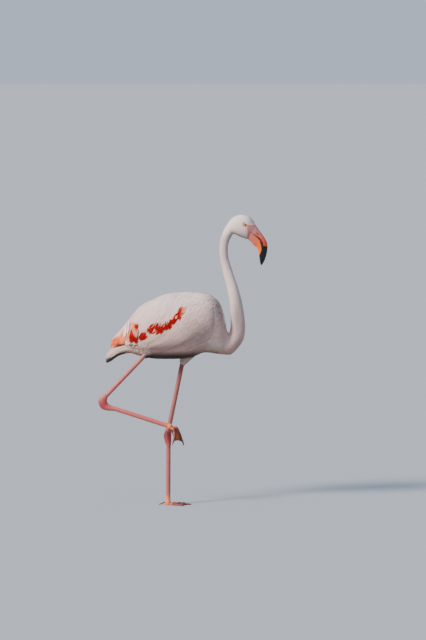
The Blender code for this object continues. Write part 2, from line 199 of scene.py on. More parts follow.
# %% [markdown]
# ## Floor, sun and sky
# The room is plain: one square, one sun, and a sky that a node graph draws. An HDR picture could
# light the bird too, but it is a file of its own.

# %% Floor
FLOOR_REACH = 500.0  # metres each way, so that its edge lies at the horizon
FLOOR_GREYS = ((0.385, 0.425, 0.480), (0.405, 0.445, 0.500))
SQUARE = ((-1, -1), (1, -1), (1, 1), (-1, 1))

floor_corners = [(x * FLOOR_REACH, y * FLOOR_REACH, 0) for x, y in SQUARE]
floor_data = bpy.data.meshes.new("floor")
floor_data.from_pydata(floor_corners, [], [(0, 1, 2, 3)])
floor = bpy.data.objects.new("floor", floor_data)
bpy.context.scene.collection.objects.link(floor)
floor_paint = Paint("floor", Roughness=0.75)
floor_paint.set(Base_Color=floor_paint.mix(floor_paint.noise(1.5), *FLOOR_GREYS))
floor_data.materials.append(floor_paint.material)
floor.visible_diffuse = False  # so that it throws no light up on the belly
print("floor ready")

# %% Sun
SUN_STRENGTH = 5.7
SUN_WIDTH = math.radians(14)  # wide, which makes its shadows soft
SUN_TILT, SUN_TURN = math.radians(57), math.radians(-54)
SUN_COLOUR = (1.0, 0.90, 0.80)

sun_data = bpy.data.lights.new("sun", "SUN")
sun_data.energy = SUN_STRENGTH
sun_data.angle = SUN_WIDTH
sun_data.color = SUN_COLOUR
sun = bpy.data.objects.new("sun", sun_data)
sun.rotation_euler = (SUN_TILT, 0.0, SUN_TURN)
bpy.context.scene.collection.objects.link(sun)
print("sun", sun_data.energy, "W/m2")


# %% Sky
SKY_BLUE = (0.60, 0.69, 0.84)
DUSKY_BROWN = (0.31, 0.26, 0.24)


class Sky(Paint):
    """The same helper for the world: pale blue above the horizon, dusky brown below it."""

    def __init__(self, world):
        world.use_nodes = True
        self.tree = world.node_tree
        self.shader = self.tree.nodes["Background"]


world = bpy.data.worlds.new("sky")
sky = Sky(world)
way = sky.node("ShaderNodeTexCoord", output="Generated")
height = sky.node("ShaderNodeSeparateXYZ", values={0: way}, output=2)
sky_colour = sky.mix(height.smooth(-0.30, 0.0), DUSKY_BROWN, SKY_BLUE)
sky.set(Color=sky_colour, Strength=0.85)
bpy.context.scene.world = world
print("sky ready")

# %% [markdown]
# ## Surfaces as functions
# A rib is an ellipse across the body, set by a point of the outline on the back, a point of the
# outline on the belly, and a half width. A smooth curve through the ribs gives the section at any
# place u between them, and an angle t goes round it: 0 at the belly, a quarter turn at the left
# flank, half a turn at the back. The body could be sculpted, or grown from a box under a
# Subdivision Surface. A function was chosen because skin, feathers and colours can all ask it where
# a place lies and which way it faces.


# %% Curves through rows of numbers
def through(rows, places):
    """Catmull-Rom. Between rows b and c, with a before and d after them, the value at share s is
    half of 2b + (c - a)s + (2a - 5b + 4c - d)s^2 + (3b - a - 3c + d)s^3."""
    rows = np.asarray(rows, float)
    rows = np.vstack([2 * rows[0] - rows[1], rows, 2 * rows[-1] - rows[-2]])
    places = np.asarray(places, float)
    start = np.clip(np.floor(places).astype(int), 0, len(rows) - 4)
    s = np.clip(places - start, 0.0, 1.0)[..., None]
    a, b, c, d = (rows[start + k] for k in range(4))
    return 0.5 * (
        2 * b + (c - a) * s + (2 * a - 5 * b + 4 * c - d) * s**2 + (3 * b - a - 3 * c + d) * s**3
    )


def unit(vectors):
    """Each vector over its length."""
    return vectors / np.maximum(np.linalg.norm(vectors, axis=-1, keepdims=True), 1e-12)


def ease(values, low, high):
    """0 at low, 1 at high, and an even ease between."""
    s = np.clip((values - low) / (high - low), 0.0, 1.0)
    return s * s * (3.0 - 2.0 * s)


def turns(count):
    """Angles at even steps round a circle, without the last, which would repeat the first."""
    return np.linspace(0, 2 * np.pi, count, endpoint=False)


def mixed(first, second, share):
    """first (1 - share) + second share, for colours whose share varies from point to point."""
    return np.asarray(first) * (1 - share[..., None]) + np.asarray(second) * share[..., None]


print("halfway from 0 to 1 the ease is", ease(0.5, 0.0, 1.0))

# %% The body's ribs
# Upright ribs of the trunk: x, z of the back, z of the belly, half width.
TRUNK = (
    (-0.180, 0.684, 0.634, 0.026),
    (-0.150, 0.750, 0.613, 0.052),
    (-0.110, 0.799, 0.600, 0.073),
    (-0.060, 0.826, 0.590, 0.087),
    (0.000, 0.850, 0.588, 0.095),
    (0.060, 0.858, 0.590, 0.098),
    (0.110, 0.857, 0.601, 0.096),
    (0.140, 0.854, 0.613, 0.091),
    (0.170, 0.845, 0.613, 0.084),
    (0.195, 0.827, 0.609, 0.074),
    (0.212, 0.803, 0.607, 0.065),
    (0.223, 0.770, 0.606, 0.056),
    (0.230, 0.734, 0.605, 0.049),
    (0.2355, 0.703, 0.605, 0.044),
)
# Slanted ribs of neck and head: x and z at the back, x and z in front, half width.
NECK = (
    (0.2410, 0.6915, 0.2540, 0.6070, 0.0390),
    (0.2455, 0.6960, 0.2790, 0.6310, 0.0350),
    (0.2490, 0.7065, 0.3010, 0.6640, 0.0318),
    (0.2508, 0.7240, 0.3085, 0.7030, 0.0300),
    (0.2510, 0.7560, 0.3065, 0.7520, 0.0278),
    (0.2465, 0.8120, 0.2955, 0.8180, 0.0245),
    (0.2370, 0.8680, 0.2785, 0.8800, 0.0210),
    (0.2205, 0.9310, 0.2575, 0.9410, 0.0185),
    (0.2075, 0.9900, 0.2420, 0.9930, 0.0172),
    (0.2050, 1.0340, 0.2395, 1.0300, 0.0170),
    (0.2110, 1.0720, 0.2440, 1.0585, 0.0172),
    (0.2240, 1.1050, 0.2555, 1.0815, 0.0185),
)
HEAD = (
    (0.2360, 1.1250, 0.2645, 1.0885, 0.0215),
    (0.2510, 1.1460, 0.2755, 1.0830, 0.0252),
    (0.2720, 1.1605, 0.2900, 1.0770, 0.0278),
    (0.3000, 1.1650, 0.3055, 1.0710, 0.0283),
    (0.3245, 1.1575, 0.3135, 1.0672, 0.0255),
    (0.3410, 1.1420, 0.3170, 1.0672, 0.0212),
    (0.3495, 1.1265, 0.3190, 1.0680, 0.0178),
)

trunk_ribs = np.asarray(TRUNK)[:, [0, 1, 0, 2, 3]]
RIBS = np.vstack([trunk_ribs, NECK, HEAD])
NECK_START = len(TRUNK) - 1.0
HEAD_START = len(TRUNK) + len(NECK) - 0.5
BILL_BASE = len(RIBS) - 1.0
print(len(RIBS), "ribs from rump to bill")

# %% The folded wing's upright ribs: x, top, bottom, outermost y, half thickness
WING = (
    (0.181, 0.778, 0.716, 0.0745, 0.030),
    (0.165, 0.800, 0.696, 0.0880, 0.040),
    (0.130, 0.822, 0.672, 0.1000, 0.050),
    (0.070, 0.838, 0.650, 0.1080, 0.054),
    (0.000, 0.836, 0.638, 0.1070, 0.054),
    (-0.060, 0.818, 0.636, 0.0990, 0.048),
    (-0.110, 0.790, 0.640, 0.0860, 0.0415),
    (-0.150, 0.752, 0.643, 0.0680, 0.0328),
    (-0.190, 0.703, 0.642, 0.0460, 0.0220),
    (-0.218, 0.669, 0.633, 0.0290, 0.0136),
    (-0.238, 0.638, 0.620, 0.0150, 0.0066),
)
WING_LEAN = -0.14  # how far its section leans in for each metre of height

wing_curve = through(WING, np.linspace(0, len(WING) - 1, 120))[::-1]


def wing_top(x):
    """The height of the folded wing's upper edge at a place along the body."""
    return np.interp(x, wing_curve[:, 0], wing_curve[:, 1])


print("wing", round(WING[0][0] - WING[-1][0], 3), "m long")


# %% The body's outer surface, with the folded wings standing out from the trunk
def wing_reach(x, across, down, middle):
    """How far the wing stands from the trunk's middle in a direction. The wing's section is an
    ellipse that leans, so the distance r solves A r^2 + 2 B r + C = 0, and the larger root
    counts."""
    top, bottom, outer, thick = (
        np.interp(x, wing_curve[:, 0], wing_curve[:, k]) for k in (1, 2, 3, 4)
    )
    centre, high = (top + bottom) / 2, (top - bottom) / 2
    rise = middle - centre
    a0, a1 = rise / high, -down / high
    b0 = (thick - outer - WING_LEAN * rise) / thick
    b1 = (np.abs(across) + WING_LEAN * down) / thick
    a, b, c = a1**2 + b1**2, a0 * a1 + b0 * b1, a0**2 + b0**2 - 1
    inside = (b**2 - a * c > 0) & (x < wing_curve[-1, 0])
    return np.where(inside, (-b + np.sqrt(np.maximum(b**2 - a * c, 0))) / a, 0.0)


def softer_max(first, second, blend=0.010):
    """The larger of two, with a rounded turn where they cross: half of first + second + the root
    of (first - second)^2 + blend^2."""
    return 0.5 * (first + second + np.sqrt((first - second) ** 2 + blend**2))


def body(u, t):
    """A rib's ellipse, middle + half height cos t + half width sin t, pushed out to the wing where
    that stands further. Behind the last rib the surface goes straight on."""
    u, t = np.broadcast_arrays(np.asarray(u, float), np.asarray(t, float))
    inner = np.clip(u, 0.0, BILL_BASE)
    rib = through(RIBS, inner)
    middle, half = (rib[..., 0:2] + rib[..., 2:4]) / 2, (rib[..., 2:4] - rib[..., 0:2]) / 2
    y = rib[..., 4] * np.sin(t)
    down = -half[..., 1] * np.cos(t)
    reach = np.hypot(y, down) + 1e-9
    wing = wing_reach(middle[..., 0], y / reach, down / reach, middle[..., 1])
    grow = np.where(wing > 0.6 * reach, softer_max(reach, wing) / reach, 1.0)
    grow = np.where(inner < NECK_START, grow, 1.0)
    point = np.stack(
        [middle[..., 0] + half[..., 0] * np.cos(t), y * grow, middle[..., 1] - down * grow], -1
    )
    if (u < 0).any():
        step = 0.25
        slope = (body(np.full_like(u, step), t) - body(np.zeros_like(u), t)) / step
        point = point + np.minimum(u, 0.0)[..., None] * slope
    return point


print("back over the hips", np.round(body(np.array([5.0]), np.array([np.pi]))[0], 3))


# %% A round surface along a path, for thighs
def tube(centres, radii):
    """A round surface along a path: centre + radius (side cos t + up sin t)."""
    centres, radii = np.asarray(centres, float), np.asarray(radii, float)
    rows = np.column_stack([centres, radii])

    def surface(u, t):
        """A point at u along the path and at an angle t round it."""
        row, ahead = through(rows, u), through(rows, np.asarray(u, float) + 0.05)
        behind = through(rows, np.asarray(u, float) - 0.05)
        along = unit(ahead[..., :3] - behind[..., :3])
        side = unit(np.array([0.0, 1.0, 0.0]) - along * along[..., 1:2])
        up = np.cross(along, side)
        round_ = side * np.cos(t)[..., None] + up * np.sin(t)[..., None]
        return row[..., :3] + row[..., 3:4] * round_

    return surface


bar = tube([(0, 0, 0), (1, 0, 0)], [0.1, 0.1])
print("top of a level bar", np.round(bar(np.zeros(1), np.full(1, np.pi / 2))[0], 3))


# %% Which ways lie along, round and out of a surface
def lay(surface, u, t, step=0.02):
    """The point at u, t, with the unit ways along, round and out, and metres for each unit of u
    and t. The ways are differences over a small step, and out is square to both."""
    point = surface(u, t)
    along = surface(u + step, t) - surface(u - step, t)
    round_ = surface(u, t + step) - surface(u, t - step)
    out = unit(np.cross(round_, along))
    lengths = [np.linalg.norm(way, axis=-1) / (2 * step) for way in (along, round_)]
    return point, unit(along), unit(round_), out, lengths


point, _, _, out, _ = lay(body, np.array([5.0, 20.0]), np.array([1.5, 1.5]))
print("left flank at", np.round(point[0], 3), "faces", np.round(out[0], 2))

# %% [markdown]
# ## From a function to a mesh
# A surface is read on a grid of rows and columns. The columns close round the body, and the first
# and last rows close into one face each, so each shell is watertight. BMesh could add the faces
# one by one, which is slow for a million of them. Whole arrays of corners go into Blender at once,
# and colours and texture places ride along on them.


# %% Meshes from arrays
def mesh_object(name, points, faces, tint=None, maps=None):
    """One mesh from points and arrays of faces, each array with its own number of corners."""
    mesh = bpy.data.meshes.new(name)
    corners = np.concatenate([group.ravel() for group in faces]).astype(np.int32)
    sizes = np.concatenate([np.full(len(group), group.shape[1]) for group in faces])
    starts = np.concatenate([[0], np.cumsum(sizes)[:-1]]).astype(np.int32)
    mesh.vertices.add(len(points))
    mesh.vertices.foreach_set("co", np.asarray(points, np.float32).ravel())
    mesh.loops.add(len(corners))
    mesh.loops.foreach_set("vertex_index", corners)
    mesh.polygons.add(len(sizes))
    mesh.polygons.foreach_set("loop_start", starts)
    mesh.update(calc_edges=True)
    mesh.shade_smooth()
    if tint is not None:
        colours = np.ones((len(points), 4), np.float32)
        colours[:, : tint.shape[-1]] = tint.reshape(len(points), -1)
        layer = mesh.attributes.new("tint", "FLOAT_COLOR", "POINT")
        layer.data.foreach_set("color", colours.ravel())
    for key, places in (maps or {}).items():
        layer = mesh.uv_layers.new(name=key)
        layer.uv.foreach_set("vector", np.asarray(places, np.float32)[corners].ravel())
    made = bpy.data.objects.new(name, mesh)
    bpy.context.scene.collection.objects.link(made)
    return made


def grid_faces(rows, columns, ring):
    """The faces of a grid whose columns close round, and either two end faces or, on a ring, the
    faces from its last row to its first."""
    row = np.arange(rows if ring else rows - 1)[:, None]
    column = np.arange(columns)
    low, high = row * columns, (row + 1) % rows * columns
    ahead = (column + 1) % columns
    quads = np.stack([low + column, low + ahead, high + ahead, high + column], -1).reshape(-1, 4)
    caps = np.stack([column[::-1], column + (rows - 1) * columns])
    return [quads] if ring else [quads, caps]


print("quads of a grid of 3 by 4:", len(grid_faces(3, 4, ring=False)[0]))


# %% Closed shells joined into one piece
def shells(name, *grids):
    """One mesh from closed grids. Each is rows by columns of points, their tints, and whether its
    last row meets its first. A shell whose volume comes out negative has its faces turned."""
    points, tints, faces, count = [], [], [], 0
    for grid, tint, ring in grids:
        rows, columns = grid.shape[:2]
        flat = grid.reshape(-1, 3)
        groups = grid_faces(rows, columns, ring)
        a, b, c, d = (flat[groups[0][:, k]] - flat.mean(0) for k in range(4))
        volume = np.einsum("ij,ij->", a, np.cross(b, c)) + np.einsum("ij,ij->", a, np.cross(c, d))
        faces += [(group if volume > 0 else group[:, ::-1]) + count for group in groups]
        points.append(flat)
        tints.append(tint.reshape(len(flat), -1))
        count += len(flat)
    return mesh_object(name, np.vstack(points), faces, np.vstack(tints))


def finish_piece(made, paint, slot, *nodes):
    """Give a mesh its one material and the solids that it stands for. Its slot is not used."""
    made.data.materials.clear()
    made.data.materials.append(paint.material)
    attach(made, "root")
    if nodes:
        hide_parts(*nodes)
    triangles = sum(len(face.vertices) - 2 for face in made.data.polygons)
    print(made.name, "has", triangles, "triangles")
    return made


print("a piece rides on one body and names the solids that it stands for")


# %% [markdown]
# ## The bill
# A flamingo's bill is bent down in the middle. The upper half is a shallow lid with a ridge along
# its top and a slit nostril, and the lower half is a deep trough whose edge runs in a wavy line
# under the lid. It could be modelled from a box with loop cuts, but its outline is what makes the
# bird's face. So each half is a profile carried along ribs, which hold that outline exactly: out
# from the mouth line, over the ridge, and back across the inside.

# %% The bill's ribs: culmen x and z, mouth x and z, keel x and z, half width
BILL = (
    (0.3502, 1.1255, 0.3330, 1.0945, 0.3195, 1.0672, 0.0174),
    (0.3600, 1.1100, 0.3450, 1.0868, 0.3290, 1.0590, 0.0160),
    (0.3730, 1.0925, 0.3562, 1.0790, 0.3410, 1.0455, 0.0142),
    (0.3862, 1.0735, 0.3672, 1.0688, 0.3530, 1.0355, 0.0128),
    (0.3958, 1.0535, 0.3745, 1.0550, 0.3595, 1.0240, 0.0114),
    (0.3978, 1.0320, 0.3768, 1.0370, 0.3632, 1.0080, 0.0098),
    (0.3940, 1.0060, 0.3775, 1.0140, 0.3655, 0.9920, 0.0080),
    (0.3858, 0.9815, 0.3760, 0.9885, 0.3675, 0.9775, 0.0060),
    (0.3752, 0.9632, 0.3730, 0.9650, 0.3706, 0.9645, 0.0034),
)
BILL_ROWS, BILL_SIDES = 150, 72
MOUTH_GAP = 0.0004
NOSTRIL = (1.05, 2.25, 0.26, 0.045)  # first and last rib, share round from the mouth, half width
NOSTRIL_DEPTH = 0.0024
print(len(BILL), "ribs of the bill")


# %% One half of the bill
def bill_half(upper):
    """Rows along the bill, and a share a round each: 0 to 1 goes over the outside from the left
    edge to the right, 1 to 2 comes back inside. The outside is mouth + (ridge - mouth) sin(pi a)
    to a power under 1, which squares its shoulders."""
    rows = through(BILL, np.linspace(0, len(BILL) - 1, BILL_ROWS))[:, None, :]
    u = np.linspace(0, len(BILL) - 1, BILL_ROWS)[:, None]
    a = np.linspace(0, 2, BILL_SIDES, endpoint=False)[None, :] + 0 * u
    ridge = rows[..., 0:2] if upper else rows[..., 4:6]
    gap = MOUTH_GAP * (1 - ease(u, 5.5, 7.0))[..., None]
    mouth = rows[..., 2:4] + unit(ridge - rows[..., 2:4]) * gap
    outside = a <= 1
    power = 1 - (0.14 if upper else 0.26) * ease(u, 0.0, 0.9)
    swell = np.where(outside, np.sin(np.pi * a.clip(0, 1)) ** power, 0.0)
    hollow = np.where(outside, 0.0, np.sin(np.pi * (a - 1).clip(0, 1)) * (0.10 if upper else -0.07))
    side = np.where(outside, np.cos(np.pi * a.clip(0, 1)), -np.cos(np.pi * (a - 1).clip(0, 1)))
    base = 1 - 0.035 * np.exp(-((u / 0.14) ** 2))
    lip = np.exp(-((swell / 0.10) ** 2)) * outside * 0.05
    width = rows[..., 6] * (1 - lip) * base
    slit_from, slit_to, slit_at, slit_wide = NOSTRIL
    along = ease(u, slit_from, slit_from + 0.3) * (1 - ease(u, slit_to - 0.3, slit_to))
    off = (np.arcsin(swell.clip(0, 1)) / (np.pi / 2) - slit_at) / slit_wide
    pit = np.exp(-(off**2)) * along * outside * (1.0 if upper else 0.0)
    width = width - NOSTRIL_DEPTH * pit
    plane = mouth + (ridge - mouth) * ((swell + hollow) * base)[..., None]
    points = np.stack([plane[..., 0], width * side, plane[..., 1]], -1)
    border = 0.05 + (0.09 if upper else 0.21) * ease(u, 2.2, 4.4)
    dark = np.maximum(1 - swell / border, 0.0) ** 0.35 * outside + ~outside
    shade = np.stack([u / (len(BILL) - 1) + 0 * a, pit, dark], -1)
    print("bill half from", np.round(points.min((0, 1)), 3), "to", np.round(points.max((0, 1)), 3))
    return points, shade


# %% Horn
LIP_BROWN = (0.035, 0.008, 0.006)
HORN_BLACK = (0.005, 0.005, 0.006)
# painted shade in the nostril's slit
SLIT_SHADE = (0.05, 0.012, 0.012)


def horn_paint(name, black_from, base, middle, glow):
    """Pink horn by the face, orange further out, black from the bend to the tip, with a dark lip.
    The seam between them wanders with a noise, and another roughens the horn."""
    paint = Paint(name, Coat_Weight=0.08, Coat_Roughness=0.2, Specular_IOR_Level=0.35)
    bands = paint.node("ShaderNodeSeparateColor", values={0: paint.attribute("tint", "Color")})
    pit = Wire(paint, bands.socket.node.outputs[1])
    lip = Wire(paint, bands.socket.node.outputs[2])
    wander = bands + (paint.noise(160.0) - 0.5) * 0.05
    colour = paint.mix(wander.smooth(0.06, 0.36), base, middle)
    colour = paint.mix(wander.smooth(0.30, 0.52), colour, glow)
    colour = paint.mix(bands.smooth(0.0, 0.06), tuple(0.82 * part for part in base), colour)
    growth = paint.noise(420.0, 5.0)
    colour = paint.tinted(colour, growth * 0.30 + 0.84)
    colour = paint.mix(lip.smooth(0.02, 0.35) * wander.smooth(-0.06, 0.42), colour, LIP_BROWN)
    black = wander.smooth(black_from - 0.012, black_from + 0.02)
    colour = paint.mix(black, colour, HORN_BLACK)
    # painted shade in the nostril's slit
    colour = paint.mix(pit.smooth(0.2, 0.7), colour, SLIT_SHADE)
    paint.set(Base_Color=colour, Roughness=0.46 - black * 0.16)
    paint.bump(paint.noise(900.0, 4.0) * 0.5 + growth, 0.25, 0.0005)
    return paint


print("the lip is", LIP_BROWN, "and the tip is", HORN_BLACK)

# %% Both halves of the bill
UPPER_HORN = ((0.52, 0.205, 0.215), (0.68, 0.14, 0.08), (0.74, 0.07, 0.02))
LOWER_HORN = ((0.68, 0.175, 0.145), (0.92, 0.16, 0.055), (0.95, 0.17, 0.015))

# The half, the share of its length where it turns black, and its three colours.
for word, black_from, horn in (("upper", 0.585, UPPER_HORN), ("lower", 0.66, LOWER_HORN)):
    points, shade = bill_half(upper=word == "upper")
    half = shells(f"bill_{word}_horn", (points, shade, False))
    finish_piece(half, horn_paint(f"horn_{word}", black_from, *horn), "bill", f"bill_{word}")

# %% [markdown]
# ## The eyes
# The eye is a ball with a pale yellow iris and a round black pupil. A UV Sphere has its poles at
# top and bottom. This grid of rings has one where the eye looks out, so that iris and pupil are
# rings of the grid, and their edges are as round as the mesh.

# %% Eyes
EYE_CENTRE = np.array([0.3065, 0.0226, 1.1270])
EYE_RADIUS = 0.0062
GAZE = unit(np.array([0.16, 1.0, 0.02]))  # a little forward
IRIS_SHARE, PUPIL_SHARE = 0.80, 0.42  # radii, over the eye's
IRIS_PALE, IRIS_DEEP = (0.90, 0.60, 0.26), (0.84, 0.40, 0.15)
PUPIL_BLACK = (0.004, 0.004, 0.004)
RIM_BROWN = (0.30, 0.07, 0.04)
FLANKS = ((1, "left"), (-1, "right"))  # which way y grows on each side of the body


def eye_rings(side):
    """A ball about the gaze: centre + R (cos b gaze + sin b (cos a first + sin a second)). The
    clear front bulges a little past it. The shade is sin b in front, which is 0 at the pupil's
    middle, and far over 1 behind."""
    gaze = GAZE * (1, side, 1)
    first = unit(np.cross(gaze, (0, 0, 1)))
    second = np.cross(first, gaze)
    b = np.linspace(0.004, np.pi - 0.004, 56)[:, None, None]
    a = turns(64)[None, :, None]
    bulge = 1 + 0.07 * np.exp(-((b / 0.55) ** 2))
    ball = np.cos(b) * bulge * gaze + np.sin(b) * (np.cos(a) * first + np.sin(a) * second)
    share = np.sin(b[..., 0]) * np.where(b[..., 0] < np.pi / 2, 1, 9) + 0 * a[..., 0]
    return EYE_CENTRE * (1, side, 1) + EYE_RADIUS * ball, share[..., None]


print("eye", round(EYE_RADIUS * 2000, 1), "mm across")

# %% Iris, pupil and gloss
eye_paint = Paint("eye", Roughness=0.06, Coat_Weight=1.0, Coat_Roughness=0.02)
ring = eye_paint.node("ShaderNodeSeparateColor", values={0: eye_paint.attribute("tint", "Color")})
spokes = eye_paint.noise(2600.0, 3.0)
iris = eye_paint.mix(ring.smooth(0.40, 0.80), IRIS_PALE, IRIS_DEEP)
iris = eye_paint.tinted(iris, spokes * 0.5 + 0.75)
iris = eye_paint.mix(ring.smooth(IRIS_SHARE - 0.04, IRIS_SHARE + 0.03), iris, RIM_BROWN)
beyond_pupil = ring.smooth(PUPIL_SHARE, PUPIL_SHARE + 0.05)
eye_paint.set(Base_Color=eye_paint.mix(beyond_pupil, PUPIL_BLACK, iris))
for side, word in FLANKS:
    ball = shells(f"eyeball_{word}", (*eye_rings(side), False))
    finish_piece(ball, eye_paint, "eye", f"eye_{word}")

# %% [markdown]
# ## One skin
# Under its feathers a bird is a single skin, which turns into scaly legs, webs and the bare face.
# Booleans or a voxel remesh could join its parts, at the price of the fine scales. Here closed
# shells run into one another inside one mesh: trunk, neck and head in one, then tail, lids, thighs,
# legs, pads, toes and webs. Each lies inside its solid by the depth of the coat.

# %% Where the face is bare, and how deep the coat is
# Where the feathers end on the face: z, x.
FACE_MARGIN = (
    (1.0640, 0.3260),
    (1.0780, 0.3180),
    (1.0880, 0.3145),
    (1.1000, 0.3155),
    (1.1200, 0.3140),
)
GAPE_SLOPE, GAPE_HEIGHT = 0.35, 1.2110  # the mouth's corner runs along z = height - slope x
# Metres of plumage over the skin, from the rump to the bill.
DEPTHS = (0.0080, 0.0064, 0.0030, 0.0021, 0.0013, 0.0008)


def face_margin(z):
    """The x at which the feathers end on the face, at a height."""
    return np.interp(z, *np.array(FACE_MARGIN).T)


def from_eye(point):
    """Distance from the eye's centre in the side view: the root of dx^2 + dz^2."""
    return np.linalg.norm((point - EYE_CENTRE) * (1, 0, 1), axis=-1)


def over_gape(point):
    """Height over the line that the mouth's corner runs along."""
    return point[..., 2] + GAPE_SLOPE * point[..., 0] - GAPE_HEIGHT


def bare_face(point):
    """1 on the bare skin before the eye and round it, 0 under feathers."""
    x, z = point[..., 0], point[..., 2]
    margin = face_margin(z)
    lores = ease(x, margin - 0.002, margin + 0.002) * (1 - ease(z, 1.1225, 1.1275))
    stripe = ease(x, 0.300, 0.308) * (1 - ease(np.abs(z - 1.1215), 0.0045, 0.0075))
    ring_round_eye = 1 - ease(from_eye(point), 0.0078, 0.0100)
    return np.where(x > 0.28, np.maximum(np.maximum(lores, stripe), ring_round_eye), 0.0)


def coat_depth(u, point):
    """Metres of plumage over the skin: deepest on the trunk, thin on the neck, none on the face."""
    depth = np.interp(u, (0, 10, NECK_START + 3, 20, HEAD_START, BILL_BASE), DEPTHS)
    return depth * (1 - 0.85 * bare_face(point))


print("coat", DEPTHS[0] * 1000, "mm deep at the rump")

# %% [markdown]
# ## The markings
# A greater flamingo is white with a breath of rose, and its wing coverts are crimson. Below, where
# little light falls, painted shade turns the white grey, and soft patches and streaks of painted
# shade and painted light follow how the sun falls on neck, breast, brow and flank. The markings
# could be painted on an image. Here a function gives the colour of any place in space, so that the
# skin and every feather over it agree, and no seam or stretched texture can show.

# %% Shades of skin and plumage, as linear colours
WHITE_ROSE = (0.84, 0.590, 0.545)
SHELL = (0.86, 0.700, 0.675)
# the next two are painted shade, laid on in soft patches
FLANK_SHADE = (0.44, 0.33, 0.32)
SHADE_GREY = (0.36, 0.295, 0.30)
CRIMSON = (0.31, 0.0002, 0.0002)
SALMON = (0.92, 0.160, 0.055)
FACE_PINK = (0.68, 0.28, 0.29)
EYE_RED = (0.66, 0.125, 0.065)
CHIN_PINK = (0.92, 0.25, 0.19)
MARGIN_RED = (0.36, 0.10, 0.11)
SHANK_PINK = (0.60, 0.165, 0.140)
TARSUS_PINK = (0.76, 0.180, 0.158)
ANKLE_RED = (0.40, 0.030, 0.045)
FOOT_ORANGE = (0.95, 0.25, 0.09)
# the next two are the feet's own red, darkened as painted shade
TOE_RED = (0.20, 0.035, 0.018)
WEB_RED = (0.17, 0.022, 0.009)
WEB_GLOW = (0.80, 0.13, 0.010)
# painted shade on the lifted foot's front edge
TOE_SHADE = (0.035, 0.014, 0.018)
HEAD_WHITE = (0.96, 0.81, 0.765)
# painted shade on the forehead, which faces away from the sun
BROW_SHADE = (0.50, 0.53, 0.57)
PEACH = (0.88, 0.33, 0.20)
RUMP = (0.96, 0.76, 0.66)
# painted shade under the belly
UNDERSIDE_SHADE = (0.095, 0.078, 0.078)
# painted shade on the tail's lower edge
TAIL_SHADE = (0.12, 0.095, 0.090)
TAIL_TAN = (0.50, 0.33, 0.27)
PALE_SALMON = (0.74, 0.29, 0.22)
RIM_PINK = (0.88, 0.58, 0.50)
ORANGE = (0.92, 0.115, 0.016)
BLACK = (0.012, 0.010, 0.011)
print("the band is", CRIMSON)

# %% The band across the wing: x, z of its middle, half width
BAND = (
    (-0.086, 0.704, 0.005),
    (-0.074, 0.709, 0.012),
    (-0.056, 0.712, 0.018),
    (-0.040, 0.708, 0.017),
    (-0.026, 0.714, 0.011),
    (-0.014, 0.718, 0.009),
    (0.000, 0.723, 0.015),
    (0.012, 0.736, 0.012),
    (0.028, 0.750, 0.015),
    (0.046, 0.770, 0.016),
    (0.066, 0.789, 0.006),
)
# Where the white feathers end behind the band and before it: x, z.
EDGE_BEHIND = (
    (-0.205, 0.702),
    (-0.176, 0.696),
    (-0.160, 0.684),
    (-0.148, 0.700),
    (-0.134, 0.720),
    (-0.122, 0.722),
    (-0.110, 0.696),
    (-0.096, 0.694),
)
EDGE_BEFORE = ((0.100, 0.806), (0.140, 0.816))
# Red patches behind the band: middle x and z, half length and half height.
HIND_PATCH = ((-0.137, 0.677), (0.013, 0.026))
MIDDLE_PATCH = ((-0.103, 0.678), (0.011, 0.009))


def band_edge(x, side):
    """The band's upper edge for 1 and its lower for -1, and beyond its ends the line where the
    white feathers stop."""
    behind, before = (np.pad(edge, ((0, 0), (0, 1))) for edge in (EDGE_BEHIND, EDGE_BEFORE))
    rows = np.vstack([behind, BAND, before])
    return np.interp(x, rows[:, 0], rows[:, 1]) + side * np.interp(x, rows[:, 0], rows[:, 2])


def in_band(point):
    """Whether a point lies in the band, a fifth of its height left out as a ragged margin."""
    x, z = point[..., 0], point[..., 2]
    upper, lower = band_edge(x, 1), band_edge(x, -1)
    level = np.abs(z - (upper + lower) / 2) < 0.8 * (upper - lower) / 2
    return level & (x > BAND[0][0]) & (x < BAND[-1][0])


def inside(point, centre, half):
    """Whether a point's x and z fall in an ellipse."""
    along, high = (point[..., 0] - centre[0]) / half[0], (point[..., 2] - centre[1]) / half[1]
    return np.hypot(along, high) < 1


def blot(point, centre, half):
    """1 at an ellipse's centre in the side view, and exp(-r^2) at r times its half axes."""
    x, z = point[..., 0], point[..., 2]
    return np.exp(-(((x - centre[0]) / half[0]) ** 2) - ((z - centre[1]) / half[1]) ** 2)


print("the band starts at", BAND[0][:2], "and ends at", BAND[-1][:2])

# %% Streaks along the feathers, whose colour is painted shade and light
# The lie of the flank's feathers at a height: z, degrees below level.
FLOW = ((0.58, 20.0), (0.64, 22.0), (0.67, 32.0), (0.70, 46.0), (0.75, 60.0), (0.87, 63.0))
heights = np.linspace(0.58, 0.87, 200)
slope = 1 / np.tan(np.radians(np.interp(heights, *np.array(FLOW).T)))
drift = np.concatenate([[0], np.cumsum((slope[1:] + slope[:-1]) / 2 * np.diff(heights))])
STREAK_WIDTH = 0.0085
# broad streaks of painted shade and light: their width, and their strength
BROAD_STREAK, BROAD_SHARE = 0.021, 0.06
streak_values = np.random.default_rng(5).normal(0, 1, 400)


def streak(point, width=STREAK_WIDTH):
    """A random number that stays the same along a feather's line, where dx = cot(lie) dz, so that
    feathers part into streaks. It fades out on the neck. The plumage's colour takes it as painted
    shade and painted light along the streaks, and clump lifts the feathers' tips by it."""
    across = (point[..., 0] - np.interp(point[..., 2], heights, drift)) / width
    value = np.interp(across % 399, np.arange(400), streak_values)
    return np.clip(value, -2, 2) * (1 - ease(point[..., 0], 0.12, 0.20))


print("streaks", STREAK_WIDTH * 1000, "mm wide")

